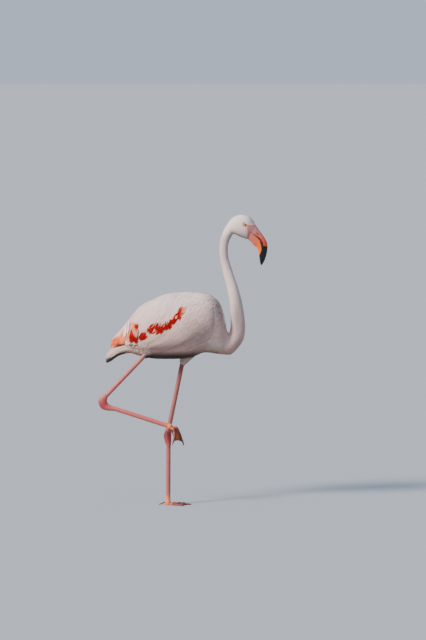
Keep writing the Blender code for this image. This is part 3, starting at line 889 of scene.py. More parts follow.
# %% The plumage's colour at any place
# Painted shade and light: colour, strength, middle x and z, half length and half height,
# and the x they end at.
PAINTED_SHADE_AND_LIGHT = (
    # painted shade on the front of the flank
    (FLANK_SHADE, 0.55, (0.115, 0.712), (0.060, 0.055), 0.24),
    # painted shade on the lower neck
    (SHADE_GREY, 0.95, (0.275, 0.745), (0.020, 0.090), 1.0),
    # painted shade on the front of the shoulder
    (SHADE_GREY, 0.75, (0.200, 0.785), (0.032, 0.055), 0.232),
    # painted light on the lower breast
    (HEAD_WHITE, 1.0, (0.185, 0.648), (0.035, 0.022), 0.232),
)


def body_colour(point):
    """Rose white, greyer low on the flank and darkest underneath, whiter on back, neck and head,
    and crimson in the band and in the two patches behind it. The grey low on the flank, lower neck
    and shoulder, the dark underside, the grey brow and the streaks are painted shade, and a soft
    patch of painted light whitens the lower breast."""
    x, z = point[..., 0], point[..., 2]
    base = mixed(WHITE_ROSE, SHELL, ease(z, 0.72, 0.84))
    base = mixed(base, HEAD_WHITE, ease(z, 1.08, 1.12))
    base = base * (1 - 0.14 * ease(z, 0.92, 1.00) * (1 - ease(z, 1.07, 1.10)))[..., None]
    # painted shade and painted light in soft patches
    for colour, strength, centre, half, end in PAINTED_SHADE_AND_LIGHT:
        base = mixed(base, colour, strength * blot(point, centre, half) * (x < end))
    # painted shade on the forehead
    brow_shade = ease(x, 0.308, 0.332) * ease(z, 1.128, 1.140)
    base = mixed(base, BROW_SHADE, 0.7 * brow_shade)
    # painted shade: the underside darkens to near black
    under = (1 - ease(z, 0.600, 0.630)) * ease(x, -0.115, -0.090) * (x < 0.20)
    base = mixed(base, UNDERSIDE_SHADE, under)
    base = mixed(base, RUMP, (1 - ease(z, 0.625, 0.655)) * (1 - ease(x, -0.120, -0.095)))
    # painted shade and painted light along the streaks, stronger low on the flank
    low = 1 - ease(z, 0.66, 0.74)
    broad_shade = BROAD_SHARE * (streak(point, BROAD_STREAK) - 0.9) * ease(z, 0.64, 0.70) * (x < 0.22)
    base = base * (1 + (0.065 + 0.090 * low) * streak(point) + broad_shade)[..., None]
    beside = ease(np.abs(point[..., 1]), 0.026, 0.034)
    base = mixed(base, SALMON, (1 - ease(x, -0.160, -0.150)) * (z > 0.646) * (z < 0.69) * beside)
    red = in_band(point) | inside(point, *HIND_PATCH) | inside(point, *MIDDLE_PATCH)
    return mixed(base, CRIMSON, 0.92 * red)


print("mid flank", np.round(body_colour(np.array([0.0, -0.1, 0.66])), 2))


# %% The skin of trunk, neck and head
def inside_horn(t):
    """Four more rows past the head's last rib, which close in on the mouth line under the horn."""
    rows = through(BILL, np.array([0.04, 0.10, 0.18, 0.30]))[:, None, :]
    shrink = np.array([0.995, 0.985, 0.955, 0.88])[:, None, None]
    ridge = np.where(np.cos(t)[None, :, None] > 0, rows[..., 4:6], rows[..., 0:2])
    plane = rows[..., 2:4] + (ridge - rows[..., 2:4]) * np.abs(np.cos(t))[None, :, None] * shrink
    y = rows[..., 6] * np.sin(t) * shrink[..., 0]
    return np.stack([plane[..., 0], y, plane[..., 1]], -1)


# Rows of trunk, neck and head: from and to a value of u, and how many.
SKIN_ROWS = ((0, 13, 100), (13.1, 25.4, 110), (25.5, 32, 74))
SKIN_COLUMNS = 100
# Hollows round the eye and along the mouth's corner: how deep, and how wide.
SOCKET_DEPTH, SOCKET_REACH = 0.0022, 0.0085
GAPE_DEPTH, GAPE_REACH = 0.0006, 0.0016


def scaly(tint, amount):
    """A tint with a fourth number, which says how scaly the skin is: 1 on legs and feet."""
    return np.dstack([tint, np.full(tint.shape[:2], float(amount))])


def trunk_shell():
    """Rows at even steps of u, closer on the head, sunk along the surface's own outward way."""
    u = np.concatenate([np.linspace(*run) for run in SKIN_ROWS])
    u, t = np.meshgrid(u, turns(SKIN_COLUMNS), indexing="ij")
    point, _, _, out, _ = lay(body, u, t)
    away, over = from_eye(point), over_gape(point)
    socket = SOCKET_DEPTH * np.exp(-((away / SOCKET_REACH) ** 2))
    gape = GAPE_DEPTH * np.exp(-((over / GAPE_REACH) ** 2)) * ease(point[..., 0], 0.319, 0.325)
    sunk = point - out * (coat_depth(u, point) + (socket + gape) * (u > HEAD_START))[..., None]
    skin = mixed(FACE_PINK, CHIN_PINK, 1 - ease(over, -0.006, 0.001))
    before_eye = blot(point, (0.318, 1.1240), (0.009, 0.0040))
    skin = mixed(skin, EYE_RED, np.maximum(1 - ease(away, 0.006, 0.013), before_eye))
    beyond = point[..., 0] - face_margin(point[..., 2]) - 0.0015
    margin = 0.5 * np.exp(-((beyond / 0.0013) ** 2)) * (point[..., 2] < 1.115)
    skin = mixed(skin, MARGIN_RED, margin)
    # painted light: the face lightens towards the horn, against the shade where its skin bends in
    # at the seam
    skin = (skin * (1 + 0.14 * ease(u, 30.9, 31.9))[..., None]).clip(0, 0.98)
    tint = mixed(body_colour(point), skin, bare_face(point))
    more = inside_horn(t[-1])
    points = np.concatenate([sunk, more])
    tint = np.concatenate([tint, np.repeat(tint[-1:], len(more), 0)])
    return points, scaly(tint, 0)


trunk_points, trunk_tint = trunk_shell()
print("skin of trunk, neck and head:", trunk_points.shape[:2], "rows and columns")


# %% [markdown]
# ## Legs and feet
# The bare leg is covered in horny plates, in tall bands down the front and small ones behind, and
# three front toes are joined by webs. A normal map could fake the plates. They are relief in the
# mesh here, so that they stay when the materials are changed, and the bump adds only fine grain.
# The ribs are those of the solids. The standing foot lies flat, and the lifted one hangs.

# %% Where the bones of the legs lie
LEG_RADIUS = 0.0092  # from front to back
LEG_SIDE_RADIUS = 0.0080
ANKLE_WIDTH = 0.0112  # half width
LEGS = {
    "right": {
        "painted_shade_factor": 1.0,
        "shank": ((-0.0985, -0.0370, 0.5990), (-0.2400, -0.0575, 0.4520)),
        "ankle": (
            (-0.2590, 0.4520, -0.2405, 0.4370),
            (-0.2745, 0.4360, -0.2425, 0.4280),
            (-0.2780, 0.4185, -0.2425, 0.4215),
            (-0.2700, 0.3985, -0.2400, 0.4160),
            (-0.2540, 0.3880, -0.2340, 0.4108),
            (-0.2290, 0.3845, -0.2215, 0.4050),
        ),
        "tarsus": ((-0.2100, -0.0575, 0.3925), (0.0020, -0.0420, 0.3225)),
        "thigh": (
            (-0.0500, -0.0260, 0.6450, 0.0360),
            (-0.0760, -0.0330, 0.6180, 0.0225),
            (-0.0970, -0.0368, 0.6005, 0.0122),
        ),
    },
    "left": {
        # the standing leg is darkened as painted shade
        "painted_shade_factor": 0.64,
        "shank": ((0.0550, 0.0400, 0.5600), (0.0050, 0.0235, 0.3190)),
        "ankle": (
            (-0.0060, 0.3120, 0.0134, 0.3100),
            (-0.0140, 0.2930, 0.0136, 0.2920),
            (-0.0180, 0.2760, 0.0130, 0.2750),
            (-0.0150, 0.2560, 0.0126, 0.2560),
            (-0.0085, 0.2380, 0.0112, 0.2380),
        ),
        "tarsus": ((0.0010, 0.0165, 0.2280), (0.0000, 0.0000, 0.0180)),
        "thigh": (
            (0.0920, 0.0340, 0.6350, 0.0420),
            (0.0720, 0.0400, 0.5950, 0.0250),
            (0.0555, 0.0400, 0.5625, 0.0125),
        ),
    },
}
PLATE = 0.0046  # from one scale across the front of the leg to the next
PLATE_RELIEF = 0.00038
for side, leg in LEGS.items():
    print(side, "ankle at", leg["ankle"][len(leg["ankle"]) // 2][:2])


# %% The leg's ribs, which are the same as the solids'
def straight_ribs(ends, shares):
    """Ribs square to a straight bone: back x and z, front x and z, half width, y."""
    ends = np.array(ends)
    centre = ends[0] + (ends[1] - ends[0]) * np.array(shares)[:, None]
    x, z = unit((ends[1] - ends[0])[[0, 2]])
    square = np.array([z, -x]) * LEG_RADIUS
    flat = centre[:, [0, 2]]
    width = np.full((len(shares), 1), LEG_SIDE_RADIUS)
    return np.hstack([flat + square, flat - square, width, centre[:, 1:2]])


def leg_ribs(leg):
    """Shank, ankle and tarsus as one run of ribs. The ankle's half width swells along a sine."""
    ankle = np.array(leg["ankle"])
    wave = np.sin(np.linspace(0, np.pi, len(ankle) + 2)[1:-1])[:, None]
    width = LEG_SIDE_RADIUS + (ANKLE_WIDTH - LEG_SIDE_RADIUS) * wave
    y = np.linspace(leg["shank"][1][1], leg["tarsus"][0][1], len(ankle) + 2)[1:-1, None]
    shank = straight_ribs(leg["shank"], (-0.08, 0.3, 0.7, 0.94, 1.0))
    tarsus = straight_ribs(leg["tarsus"], (0.0, 0.06, 0.3, 0.7, 1.0))
    return np.vstack([shank, np.hstack([ankle, width, y]), tarsus])


print(len(leg_ribs(LEGS["left"])), "ribs on the left leg")


# %% The leg's skin, with its scales
def leg_shell(leg, rows=460, columns=34):
    """Rows at even lengths down the leg. Plates stand a little proud: tall bands across the front,
    smaller ones staggered behind, and fine grain over the ankle."""
    ribs = leg_ribs(leg)
    fine = through(ribs, np.linspace(0, len(ribs) - 1, 800))
    middle = (fine[:, 0:2] + fine[:, 2:4]) / 2
    run = np.concatenate([[0], np.cumsum(np.linalg.norm(np.diff(middle, axis=0), axis=1))])
    along = np.linspace(0, run[-1], rows)
    places = np.interp(along, run, np.linspace(0, len(ribs) - 1, 800))[:, None]
    t = turns(columns)[None, :]
    rib = through(ribs, places + 0 * t)
    half = (rib[..., 2:4] - rib[..., 0:2]) / 2
    ankle_at = (len(leg["ankle"]) - 1) / 2 + 5
    ankle = np.exp(-(((places - ankle_at) / 1.9) ** 2)) + 0 * t
    front = ease(np.cos(t), 0.15, 0.45) + 0 * places
    down = along[:, None] / PLATE
    bands = np.abs(np.sin(np.pi * down)) ** 0.35
    stagger = np.abs(np.sin(np.pi * (down * 1.35 + 0.5 * (np.sin(t) > 0)))) ** 0.4
    ridge = np.abs(np.sin(3 * t)) ** 0.3
    relief = front * bands + (1 - front) * stagger * ridge
    knob = 0.0012 * np.exp(-(((places - ankle_at) / 0.9) ** 2)) * np.sin(t) ** 2
    lift = 1 + (PLATE_RELIEF * (relief - 1) * (1 - 0.75 * ankle)) / LEG_RADIUS
    plane = (rib[..., 0:2] + rib[..., 2:4]) / 2 + half * (np.cos(t) * lift)[..., None]
    y = rib[..., 5] + (rib[..., 4] + knob) * np.sin(t) * lift
    colour = mixed(SHANK_PINK, TARSUS_PINK, ease(places, ankle_at - 3, ankle_at + 3) + 0 * t)
    colour = mixed(colour, ANKLE_RED, ankle * 0.80)
    # painted shade on the standing leg, less on its ankle
    colour = colour * (leg["painted_shade_factor"] + (1 - leg["painted_shade_factor"]) * 0.7 * ankle)[..., None]
    foot = ease(along[:, None], run[-1] - 0.030, run[-1] - 0.010) + 0 * t
    colour = mixed(colour, FOOT_ORANGE, foot * 0.9) * (0.72 + 0.28 * relief)[..., None]
    return np.stack([plane[..., 0], y, plane[..., 1]], -1), scaly(colour, 1)


print("leg", leg_shell(LEGS["left"])[0].shape[:2], "rows and columns")

# %% Where toes and webs lie
HUB_RADIUS = 0.0116
HUB_HEIGHT = 0.0170
TOE_RADIUS = 0.0058
# Each front toe's length, and how many degrees it points out.
TOES = {"inner": (0.066, -34.0), "middle": (0.085, 0.0), "outer": (0.076, 33.0)}
HIND_TOE_LENGTH = 0.020
HIND_TOE_SIZE = 0.62  # its thickness, over the others'
WEB_THICKNESS = 0.0014
WEB_REACH, WEB_DIP = 0.96, 0.05  # shares of the toes' length
# The lifted foot's toes hang down: points along the middle of each.
LIFTED = {
    "inner": (
        (0.0140, -0.0335, 0.3180),
        (0.0290, -0.0300, 0.3130),
        (0.0430, -0.0255, 0.2940),
        (0.0560, -0.0205, 0.2610),
    ),
    "middle": (
        (0.0150, -0.0415, 0.3190),
        (0.0350, -0.0420, 0.3135),
        (0.0475, -0.0435, 0.2900),
        (0.0610, -0.0450, 0.2530),
    ),
    "outer": (
        (0.0120, -0.0495, 0.3160),
        (0.0245, -0.0550, 0.3060),
        (0.0270, -0.0620, 0.2860),
        (0.0210, -0.0700, 0.2600),
    ),
    "hind": ((0.0110, -0.0415, 0.3110), (0.0165, -0.0412, 0.3020), (0.0195, -0.0408, 0.2900)),
}


def toe_radius(share):
    """A toe widens from the pad, then tapers slowly with three soft joints."""
    joints = 1 + 0.09 * np.cos(6 * np.pi * share)
    return TOE_RADIUS * (1 - 0.42 * share) * (1 - 0.46 * np.exp(-share / 0.10)) * joints


def toe_path(side, name, share):
    """Centre points of a toe at shares of its length."""
    if side == "right":
        return through(LIFTED[name], share * (len(LIFTED[name]) - 1))
    if name == "hind":
        reach = HUB_RADIUS - 0.002 + (HIND_TOE_LENGTH + 0.002) * share
        return np.stack([-reach, -0.12 * reach, 0.0125 - 0.0083 * share], -1)
    length, turn = TOES[name]
    reach = HUB_RADIUS - 0.004 + (length - HUB_RADIUS + 0.004) * share
    way = (math.cos(math.radians(turn)), math.sin(math.radians(turn)))
    return np.stack([reach * way[0], reach * way[1], 0.80 * toe_radius(share)], -1)


print("toes", round(max(length for length, _ in TOES.values()) * 1000), "mm long at most")


# %% Toes
RING_SIDE = np.array([0.3, 0.95, 0.1])  # about sideways, and along none of the toes
TOE_PLATE = 0.0026
TOE_RELIEF = 0.00022


def ring_about(path, radii, columns):
    """Circles square to a path: centre + radius (side cos t + up sin t). It gives their points,
    and the ways out from the path."""
    along = unit(np.gradient(path, axis=0))
    side = unit(RING_SIDE - along * (along @ RING_SIDE)[:, None])
    up = np.cross(along, side)
    t = turns(columns)
    round_ = side[:, None] * np.cos(t)[None, :, None] + up[:, None] * np.sin(t)[None, :, None]
    return path[:, None] + radii[..., None] * round_, round_


def lifted_shade(points, colour):
    """Painted shade along the lifted foot's front edge, the side that faces away from the sun."""
    x, z = points[..., 0], points[..., 2]
    return mixed(colour, TOE_SHADE, 0.85 * ease(x + 0.2 * (z - 0.28), 0.040, 0.054))


def toe_shell(side, name, rows=76, columns=20):
    """A toe: circles about its path, with plates over its top and soft pads under its joints."""
    share = np.linspace(0, 1, rows)
    path = toe_path(side, name, share)
    size = HIND_TOE_SIZE if name == "hind" else 1.0
    length = np.linalg.norm(np.diff(path, axis=0), axis=1).sum()
    _, round_ = ring_about(path, np.ones((rows, 1)), columns)
    top = ease(-round_[..., 2] if side == "right" and name == "hind" else round_[..., 2], 0.0, 0.5)
    plates = np.abs(np.sin(np.pi * share * length / TOE_PLATE))[:, None] ** 0.4
    tip = np.sqrt(np.clip((1.02 - share) / 0.06, 0, 1))[:, None]
    radii = toe_radius(share)[:, None] * size * tip - TOE_RELIEF * top * (1 - plates)
    points, _ = ring_about(path, radii, columns)
    if side == "left":
        points[..., 2] = np.maximum(points[..., 2], 0.0)
    colour = mixed(FOOT_ORANGE, TOE_RED, ease(share[:, None], 0.0, 0.35) + 0 * top)
    colour = colour * (0.60 + 0.40 * (top * plates + (1 - top)))[..., None]
    if side == "right":
        colour = lifted_shade(points, colour)
    return points, scaly(colour, 1)


lifted_tip = toe_path("right", "middle", np.ones(1))[0]
print("the lifted middle toe ends at", np.round(lifted_tip, 3))


# %% Pads and webs
def pad_shell(side, rows=40, columns=34):
    """The hub that the toes spread from: circles along a short path, fuller in the middle."""
    share = np.linspace(0, 1, rows)
    if side == "left":
        start, end = np.zeros(3), np.array([0.0, 0.0, HUB_HEIGHT + 0.004])
    else:
        ankle, foot = np.array(LEGS["right"]["tarsus"])
        start, end = foot - unit(foot - ankle) * 0.004, foot + unit(foot - ankle) * HUB_HEIGHT
    radii = HUB_RADIUS * (0.74 + 0.26 * np.sin(np.pi * share) ** (0.6 if side == "left" else 1.1))
    if side == "left":
        radii = radii * np.sqrt(np.clip((1 - share) / 0.12, 0.16, 1))
    else:
        radii = radii * np.sqrt(1 - np.clip((share - 0.45) / 0.56, 0, 1) ** 2)
    path = start + (end - start) * share[:, None]
    points, _ = ring_about(path, radii[:, None] + np.zeros((1, columns)), columns)
    return points, scaly(np.broadcast_to(FOOT_ORANGE, points.shape), 1)


def web_shell(side, one, other, rows=40, columns=26):
    """A membrane ruled between two toes. Its free edge dips between them, and creases run out
    from the pad. The ring of each row goes over the top and back underneath."""
    across = np.linspace(0, 1, columns)
    reach = WEB_REACH - WEB_DIP * np.sin(np.pi * across)
    along = 0.10 + np.linspace(0, 1, rows)[:, None] * (reach - 0.10)
    first, second = toe_path(side, one, along), toe_path(side, other, along)
    sheet = first + (second - first) * across[:, None]
    normal = unit(np.cross(np.gradient(sheet, axis=0), np.gradient(sheet, axis=1)))
    crease = np.sin(across * 7 * np.pi) * np.sin(np.pi * across) * (0.2 + 0.8 * along)
    sheet = sheet + normal * (0.0007 * crease)[..., None]
    rim = np.minimum(1.0, (1 - np.linspace(0, 1, rows)[:, None]) / 0.10 + 0.35)
    thick = (WEB_THICKNESS / 2 * rim + 0 * along)[..., None]
    points = np.concatenate([sheet + normal * thick, (sheet - normal * thick)[:, ::-1]], 1)
    if side == "left":
        points[..., 2] = np.maximum(points[..., 2], 0.0002)
    # painted shade in the creases' troughs, and painted light on their ridges
    shade = 0.80 + 0.20 * np.concatenate([crease, crease[:, ::-1]], 1)
    colour = np.array(WEB_RED) * shade[..., None]
    if side == "right":
        glow = blot(points, (0.038, 0.279), (0.009, 0.020))
        colour = lifted_shade(points, mixed(colour, WEB_GLOW, 0.85 * glow))
    return points, scaly(colour, 1)


print("web from", np.round(web_shell("left", "inner", "middle")[0].min((0, 1)), 3))


# %% [markdown]
# ## Lids
# A soft rim of skin holds the eye. It could be pulled out of the head's own mesh, which would need
# finer rows there. A ring of its own that dips under the skin all round looks the same.

# %% Lids
LID_WIDTH = 0.0048
LID_WALL = 0.0012


def lid_shell(side, rows=26, columns=96):
    """A soft ring round the eye: from its rim on the ball, over a fold, and down under the skin.
    The opening is a little longer than it is high, and comes to a corner before and behind."""
    gaze = unit(GAZE * (1, side, 1))
    first = unit(np.cross(gaze, (0, 0, 1)))
    second = np.cross(first, gaze)
    a = turns(columns)[None, :]
    s = np.linspace(0, 1, rows)[:, None]
    opening = EYE_RADIUS * (0.79 + 0.12 * np.abs(np.cos(a)) ** 3 - 0.12 * np.abs(np.sin(a)) ** 2)
    radius = opening + s * LID_WIDTH
    ball = np.sqrt(np.maximum(EYE_RADIUS**2 - np.minimum(radius, EYE_RADIUS) ** 2, 0.0))
    rim_fold = 0.00075 * np.sin(np.pi * np.clip(s / 0.55, 0, 1))
    outer_fold = 0.0003 * np.sin(np.pi * np.clip((s - 0.45) / 0.55, 0, 1))
    slope = np.maximum(ball * (1 - s) ** 0.8, 0.0030 - 0.0035 * s)
    height = slope + 0.0004 + rim_fold + outer_fold
    wrinkle = 0.00012 * np.sin(a * 17 + s * 9) * s
    centre = EYE_CENTRE * (1, side, 1)
    ring = np.cos(a)[..., None] * first + np.sin(a)[..., None] * second
    top = centre + radius[..., None] * ring
    over = top + (height + wrinkle)[..., None] * gaze
    under = top + (height - LID_WALL)[..., None] * gaze
    colour = mixed(np.array(EYE_RED) * 0.75, EYE_RED, s + 0 * a)
    points = np.concatenate([over, under[::-1]], 0)
    colours = np.concatenate([colour, colour[::-1]], 0)
    return points.transpose(1, 0, 2), scaly(colours, 0).transpose(1, 0, 2)


print("lid from", np.round(lid_shell(1)[0].min((0, 1)), 3))

# %% Thighs and tail under their feathers
# The tail's ribs: upper x and z, lower x and z, half width.
TAIL = (
    (-0.1350, 0.6580, -0.1500, 0.6140, 0.0470),
    (-0.1720, 0.6510, -0.1820, 0.6090, 0.0460),
    (-0.2040, 0.6410, -0.2080, 0.5965, 0.0420),
    (-0.2310, 0.6250, -0.2290, 0.5810, 0.0360),
    (-0.2490, 0.5985, -0.2480, 0.5720, 0.0260),
)
STUMP_END, STUMP_SIZE = 2.25, 0.72  # its last place on those ribs, and its size over theirs


def thigh_shell(leg):
    """The thigh under its feathers: a tube that narrows to the bare leg."""
    thigh = np.array(leg["thigh"]) - (0, 0, 0, 0.0030)
    u, t = np.meshgrid(np.linspace(0, 2, 24), turns(28), indexing="ij")
    points = tube(thigh[:, :3], thigh[:, 3])(u, t)
    return points, scaly(np.broadcast_to(WHITE_ROSE, points.shape), 0)


def tail_shell():
    """The rump's short stump, which the tail feathers grow from: the tail's ellipses, which shrink
    as the root of what is left to the end."""
    u, t = np.meshgrid(np.linspace(0, STUMP_END - 0.05, 30), turns(36), indexing="ij")
    rib = through(TAIL, u)
    middle, half = (rib[..., 0:2] + rib[..., 2:4]) / 2, (rib[..., 2:4] - rib[..., 0:2]) / 2
    shrink = np.sqrt(np.clip((STUMP_END - u) / STUMP_END, 0, 1)) * STUMP_SIZE
    plane = middle + half * (np.cos(t) * shrink)[..., None]
    points = np.stack([plane[..., 0], rib[..., 4] * np.sin(t) * shrink, plane[..., 1]], -1)
    return points, scaly(np.broadcast_to(WHITE_ROSE, points.shape), 0)


print("stump from", np.round(tail_shell()[0].min((0, 1)), 3))

# %% All the shells joined into the skin
SIDES = ("left", "right")
WEBS = (("inner", "middle"), ("middle", "outer"))
ALL_TOES = (*TOES, "hind")
grids = [(trunk_points, trunk_tint, False), (*tail_shell(), False)]
grids += [(*lid_shell(side), True) for side in (1, -1)]
for side in SIDES:
    leg = LEGS[side]
    grids += [(*part, False) for part in (thigh_shell(leg), leg_shell(leg), pad_shell(side))]
    grids += [(*toe_shell(side, name), False) for name in ALL_TOES]
    grids += [(*web_shell(side, *pair), False) for pair in WEBS]
skin = shells("skin", *grids)
print("skin of", len(grids), "shells")

# %% The skin's finish
CORNER_BROWN = (0.15, 0.030, 0.030)
skin_paint = Paint("skin", Roughness=0.50)
legs_only = skin_paint.attribute("tint", "Alpha")
colour = skin_paint.attribute("tint", "Color")
blotch = skin_paint.noise(70.0, 4.0)
grain = skin_paint.noise(900.0, 3.0)
cells = {"Scale": 760.0, "Vector": skin_paint.place()}
scales = skin_paint.node("ShaderNodeTexVoronoi", {"feature": "DISTANCE_TO_EDGE"}, cells)
colour = skin_paint.tinted(colour, blotch * 0.50 + 0.72)
seams = scales.smooth(0.0, 0.10) * 0.14 * legs_only + 1.0 - legs_only * 0.14
colour = skin_paint.tinted(colour, seams)
x, z = skin_paint.axis("X"), skin_paint.axis("Z")
corner = (z + x * GAPE_SLOPE - GAPE_HEIGHT).absolute().smooth(0.0004, 0.0012)
corner = (1.0 - corner) * x.smooth(0.3225, 0.3245)
colour = skin_paint.mix(corner * 0.85, colour, CORNER_BROWN)
skin_paint.set(Base_Color=colour, Roughness=0.60 - legs_only * 0.24 + grain * 0.10)
skin_paint.bump(scales.smooth(0.0, 0.16) * legs_only + grain * 0.35, 0.22, 0.0005)
flesh = ["trunk", "head", "tail", "neck_base", "neck_lower", "neck_middle", "neck_upper"]
for side in SIDES:
    flesh += [f"{part}_{side}" for part in ("wing", "thigh", "shank", "ankle", "tarsus", "pad")]
    flesh += [f"toe_{name}_{side}" for name in ALL_TOES]
    flesh += [f"web_{name}_{side}" for name in ("inner", "outer")]
finish_piece(skin, skin_paint, "leg_skin", *flesh)

# %% [markdown]
# ## Claws
# Each toe ends in a short blunt claw. A Cone is straight, so the claw is circles along a line that
# droops, which shrink to a blunt point. Its base is hidden in the toe's end.


# %% Claws
CLAW_LENGTH = 0.0090
CLAW_ROOT = (0.22, 0.10, 0.07)
CLAW_TIP = (0.022, 0.016, 0.014)


def claw_shell(side, name, rows=30, columns=20):
    """Circles whose radius falls from the toe's to a blunt point, along a line that droops."""
    size = HIND_TOE_SIZE if name == "hind" else 1.0
    tip = toe_path(side, name, np.array([0.985, 1.0]))
    way = unit(tip[1] - tip[0])
    share = np.linspace(0, 1, rows)
    radius = toe_radius(1.0) * size
    path = tip[1] + way * (CLAW_LENGTH * 1.08 * share - 0.001)[:, None]
    path[:, 2] -= (0.35 * CLAW_LENGTH if side == "right" else 0.25 * radius) * share**2
    radii = radius * (0.84 - 0.66 * share**1.5) * np.sqrt(np.clip((1.01 - share) / 0.12, 0, 1))
    points, _ = ring_about(path, radii[:, None] + np.zeros((1, columns)), columns)
    if side == "left":
        points[..., 2] = np.maximum(points[..., 2], 0.0)
    return points, np.broadcast_to(share[:, None, None], points.shape)


claw_paint = Paint("claw", Roughness=0.32)
dark = claw_paint.node("ShaderNodeSeparateColor", values={0: claw_paint.attribute("tint", "Color")})
claw_colour = claw_paint.mix(dark.smooth(0.0, 0.45), CLAW_ROOT, CLAW_TIP)
claw_paint.set(Base_Color=claw_paint.tinted(claw_colour, claw_paint.noise(700.0) * 0.6 + 0.7))
claw_paint.bump(claw_paint.noise(1400.0), 0.2, 0.0003)
for side in SIDES:
    for name in ALL_TOES:
        claw = shells(f"claw_{name}_{side}_horn", (*claw_shell(side, name), False))
        finish_piece(claw, claw_paint, "claw", f"claw_{name}_{side}")

# %% [markdown]
# ## How a feather is made
# A feather is a thin vane: a line that starts at the skin, comes up through the coat and lies on
# the feathers behind it. Hair curves could stand in for a coat, but they are no mesh, and cards
# with a cut-out image have no thickness. So each feather is a thin closed solid. Its line is found
# by walking over the body's surface in small steps, away from the head and turned towards the belly
# by the lie of the coat. A flat section of three to six corners is carried along it. Thousands are
# worked out at once, as arrays of feathers by stations by corners.

# %% Where feathers grow
random = np.random.default_rng(7)
JITTER = 0.35  # how far a root may stray, over the distance between roots


def even_rows(surface, first, last, gap):
    """Values of u whose rings lie an even distance apart, measured as the mean round the ring."""
    fine = np.linspace(first, last, 300)
    t = np.linspace(0, 2 * np.pi, 24, endpoint=False)
    per_u = lay(surface, fine[:, None] + 0 * t, t + 0 * fine[:, None])[4][0].mean(1)
    run = np.concatenate([[0], np.cumsum((per_u[1:] + per_u[:-1]) / 2 * np.diff(fine))])
    return np.interp(np.arange(gap / 2, run[-1], gap), run, fine)


def roots(surface, first, last, row_gap, gap):
    """Root places in staggered rows: as many on a ring as its length allows, shifted half a step
    on every other ring, then moved a little at random."""
    places_u, places_t = [], []
    t = np.linspace(0, 2 * np.pi, 145)
    for k, u in enumerate(even_rows(surface, first, last, row_gap)):
        ring = surface(np.full_like(t, u), t)
        run = np.concatenate([[0], np.cumsum(np.linalg.norm(np.diff(ring, axis=0), axis=1))])
        count = max(6, round(run[-1] / gap))
        share = (np.arange(count) + 0.5 * (k % 2) + JITTER * (random.random(count) - 0.5)) / count
        places_t.append(np.interp(share % 1.0 * run[-1], run, t))
        places_u.append(np.full(count, u))
    u, t = np.concatenate(places_u), np.concatenate(places_t)
    per_u = lay(surface, u, t)[4][0]
    return u + JITTER * row_gap * (random.random(len(u)) - 0.5) / np.maximum(per_u, 1e-4), t


def on_side(surface, first, last, x, z, side):
    """The u and t of places given by x and z on one side, where x depends on u alone. The height
    is found by halving the range of t, again and again."""
    fine = np.linspace(first, last, 400)
    u = np.interp(x, surface(fine, np.full(400, 1.5))[:, 0], fine)
    low, high = np.full(len(u), 0.03), np.full(len(u), np.pi - 0.03)
    for _ in range(24):
        middle = (low + high) / 2
        under = surface(u, middle)[:, 2] < z
        low, high = np.where(under, middle, low), np.where(under, high, middle)
    return u, low if side > 0 else 2 * np.pi - low


print("rings on the trunk:", len(even_rows(body, 0.0, NECK_START, 0.0062)))


# %% The walk of a feather's line over the body
def walk(surface, u, t, length, lie, shares, from_tip):
    """Each step goes tailwards by cos(lie) and towards the belly by sin(lie), in metres over the
    surface. A feather placed by its tip is walked the other way and turned round, and it stays on
    its side of back and belly."""
    points, outs, places = [], [], []
    steps = -np.diff(shares)[::-1] if from_tip else np.diff(shares)
    for step in [*steps, 0.0]:
        point, _, _, out, (per_u, per_t) = lay(surface, u, t)
        points.append(point)
        outs.append(out)
        places.append((u, t))
        turn = lie(point, u, t)
        u = u - np.cos(turn) * length * step / np.maximum(per_u, 1e-4)
        half = np.where(np.sin(t) < 0, np.pi, 0.0)  # where this side's belly-to-back range starts
        t = t - np.sign(np.sin(t)) * np.sin(turn) * length * step / np.maximum(per_t, 1e-3)
        t = np.clip(t, half + 0.02, half + np.pi - 0.02) if from_tip else t
    if from_tip:
        points, outs, places = points[::-1], outs[::-1], places[::-1]
    return np.stack(points, 1), np.stack(outs, 1), places[0]


FLANK_PLACE = (np.array([5.0]), np.array([1.5]))
line, _, _ = walk(body, *FLANK_PLACE, 0.05, lambda point, u, t: 0 * t, np.linspace(0, 1, 6), False)
print("a line of 50 mm ends", round(np.linalg.norm(line[0, -1] - line[0, 0]) * 1000, 1), "mm away")

# %% The vane's outline and sections
# A section's corners: across, up in thicknesses, up in half widths.
FLAT = ((-1.0, 0.0, -0.05), (0.0, 1.0, 0.0), (1.0, 0.0, -0.05), (0.0, -0.4, 0.0))
TUFT = ((-1.0, 0.0, 0.0), (0.0, 1.0, 0.0), (1.0, 0.0, 0.0))
ARCHED = (
    (-1.0, 0.0, -0.16),
    (-0.5, 0.6, -0.04),
    (0.0, 1.0, 0.0),
    (0.5, 0.6, -0.04),
    (1.0, 0.0, -0.16),
    (0.0, -0.6, -0.03),
)
PATCH = 0.003  # how wide each feather's patch is on the unwrap
SHARP_ANGLE = 50  # degrees between faces, past which an edge is drawn sharp


def blade(shares, widest, tip):
    """Half width along a feather: it opens as a root of the share, is widest at one place, and
    closes to the tip along an arc raised to a power. A low power gives a round tip."""
    opening = np.clip(shares / widest, 0, 1) ** 0.6 * 0.75 + 0.25
    closing = np.clip(1 - ((shares - widest) / (1.0001 - widest)).clip(0, 1) ** 2, 0, 1) ** tip
    return np.maximum(opening * closing, 0.05)


print("half widths along a blade", np.round(blade(np.linspace(0, 1, 5), 0.5, 0.6), 2))


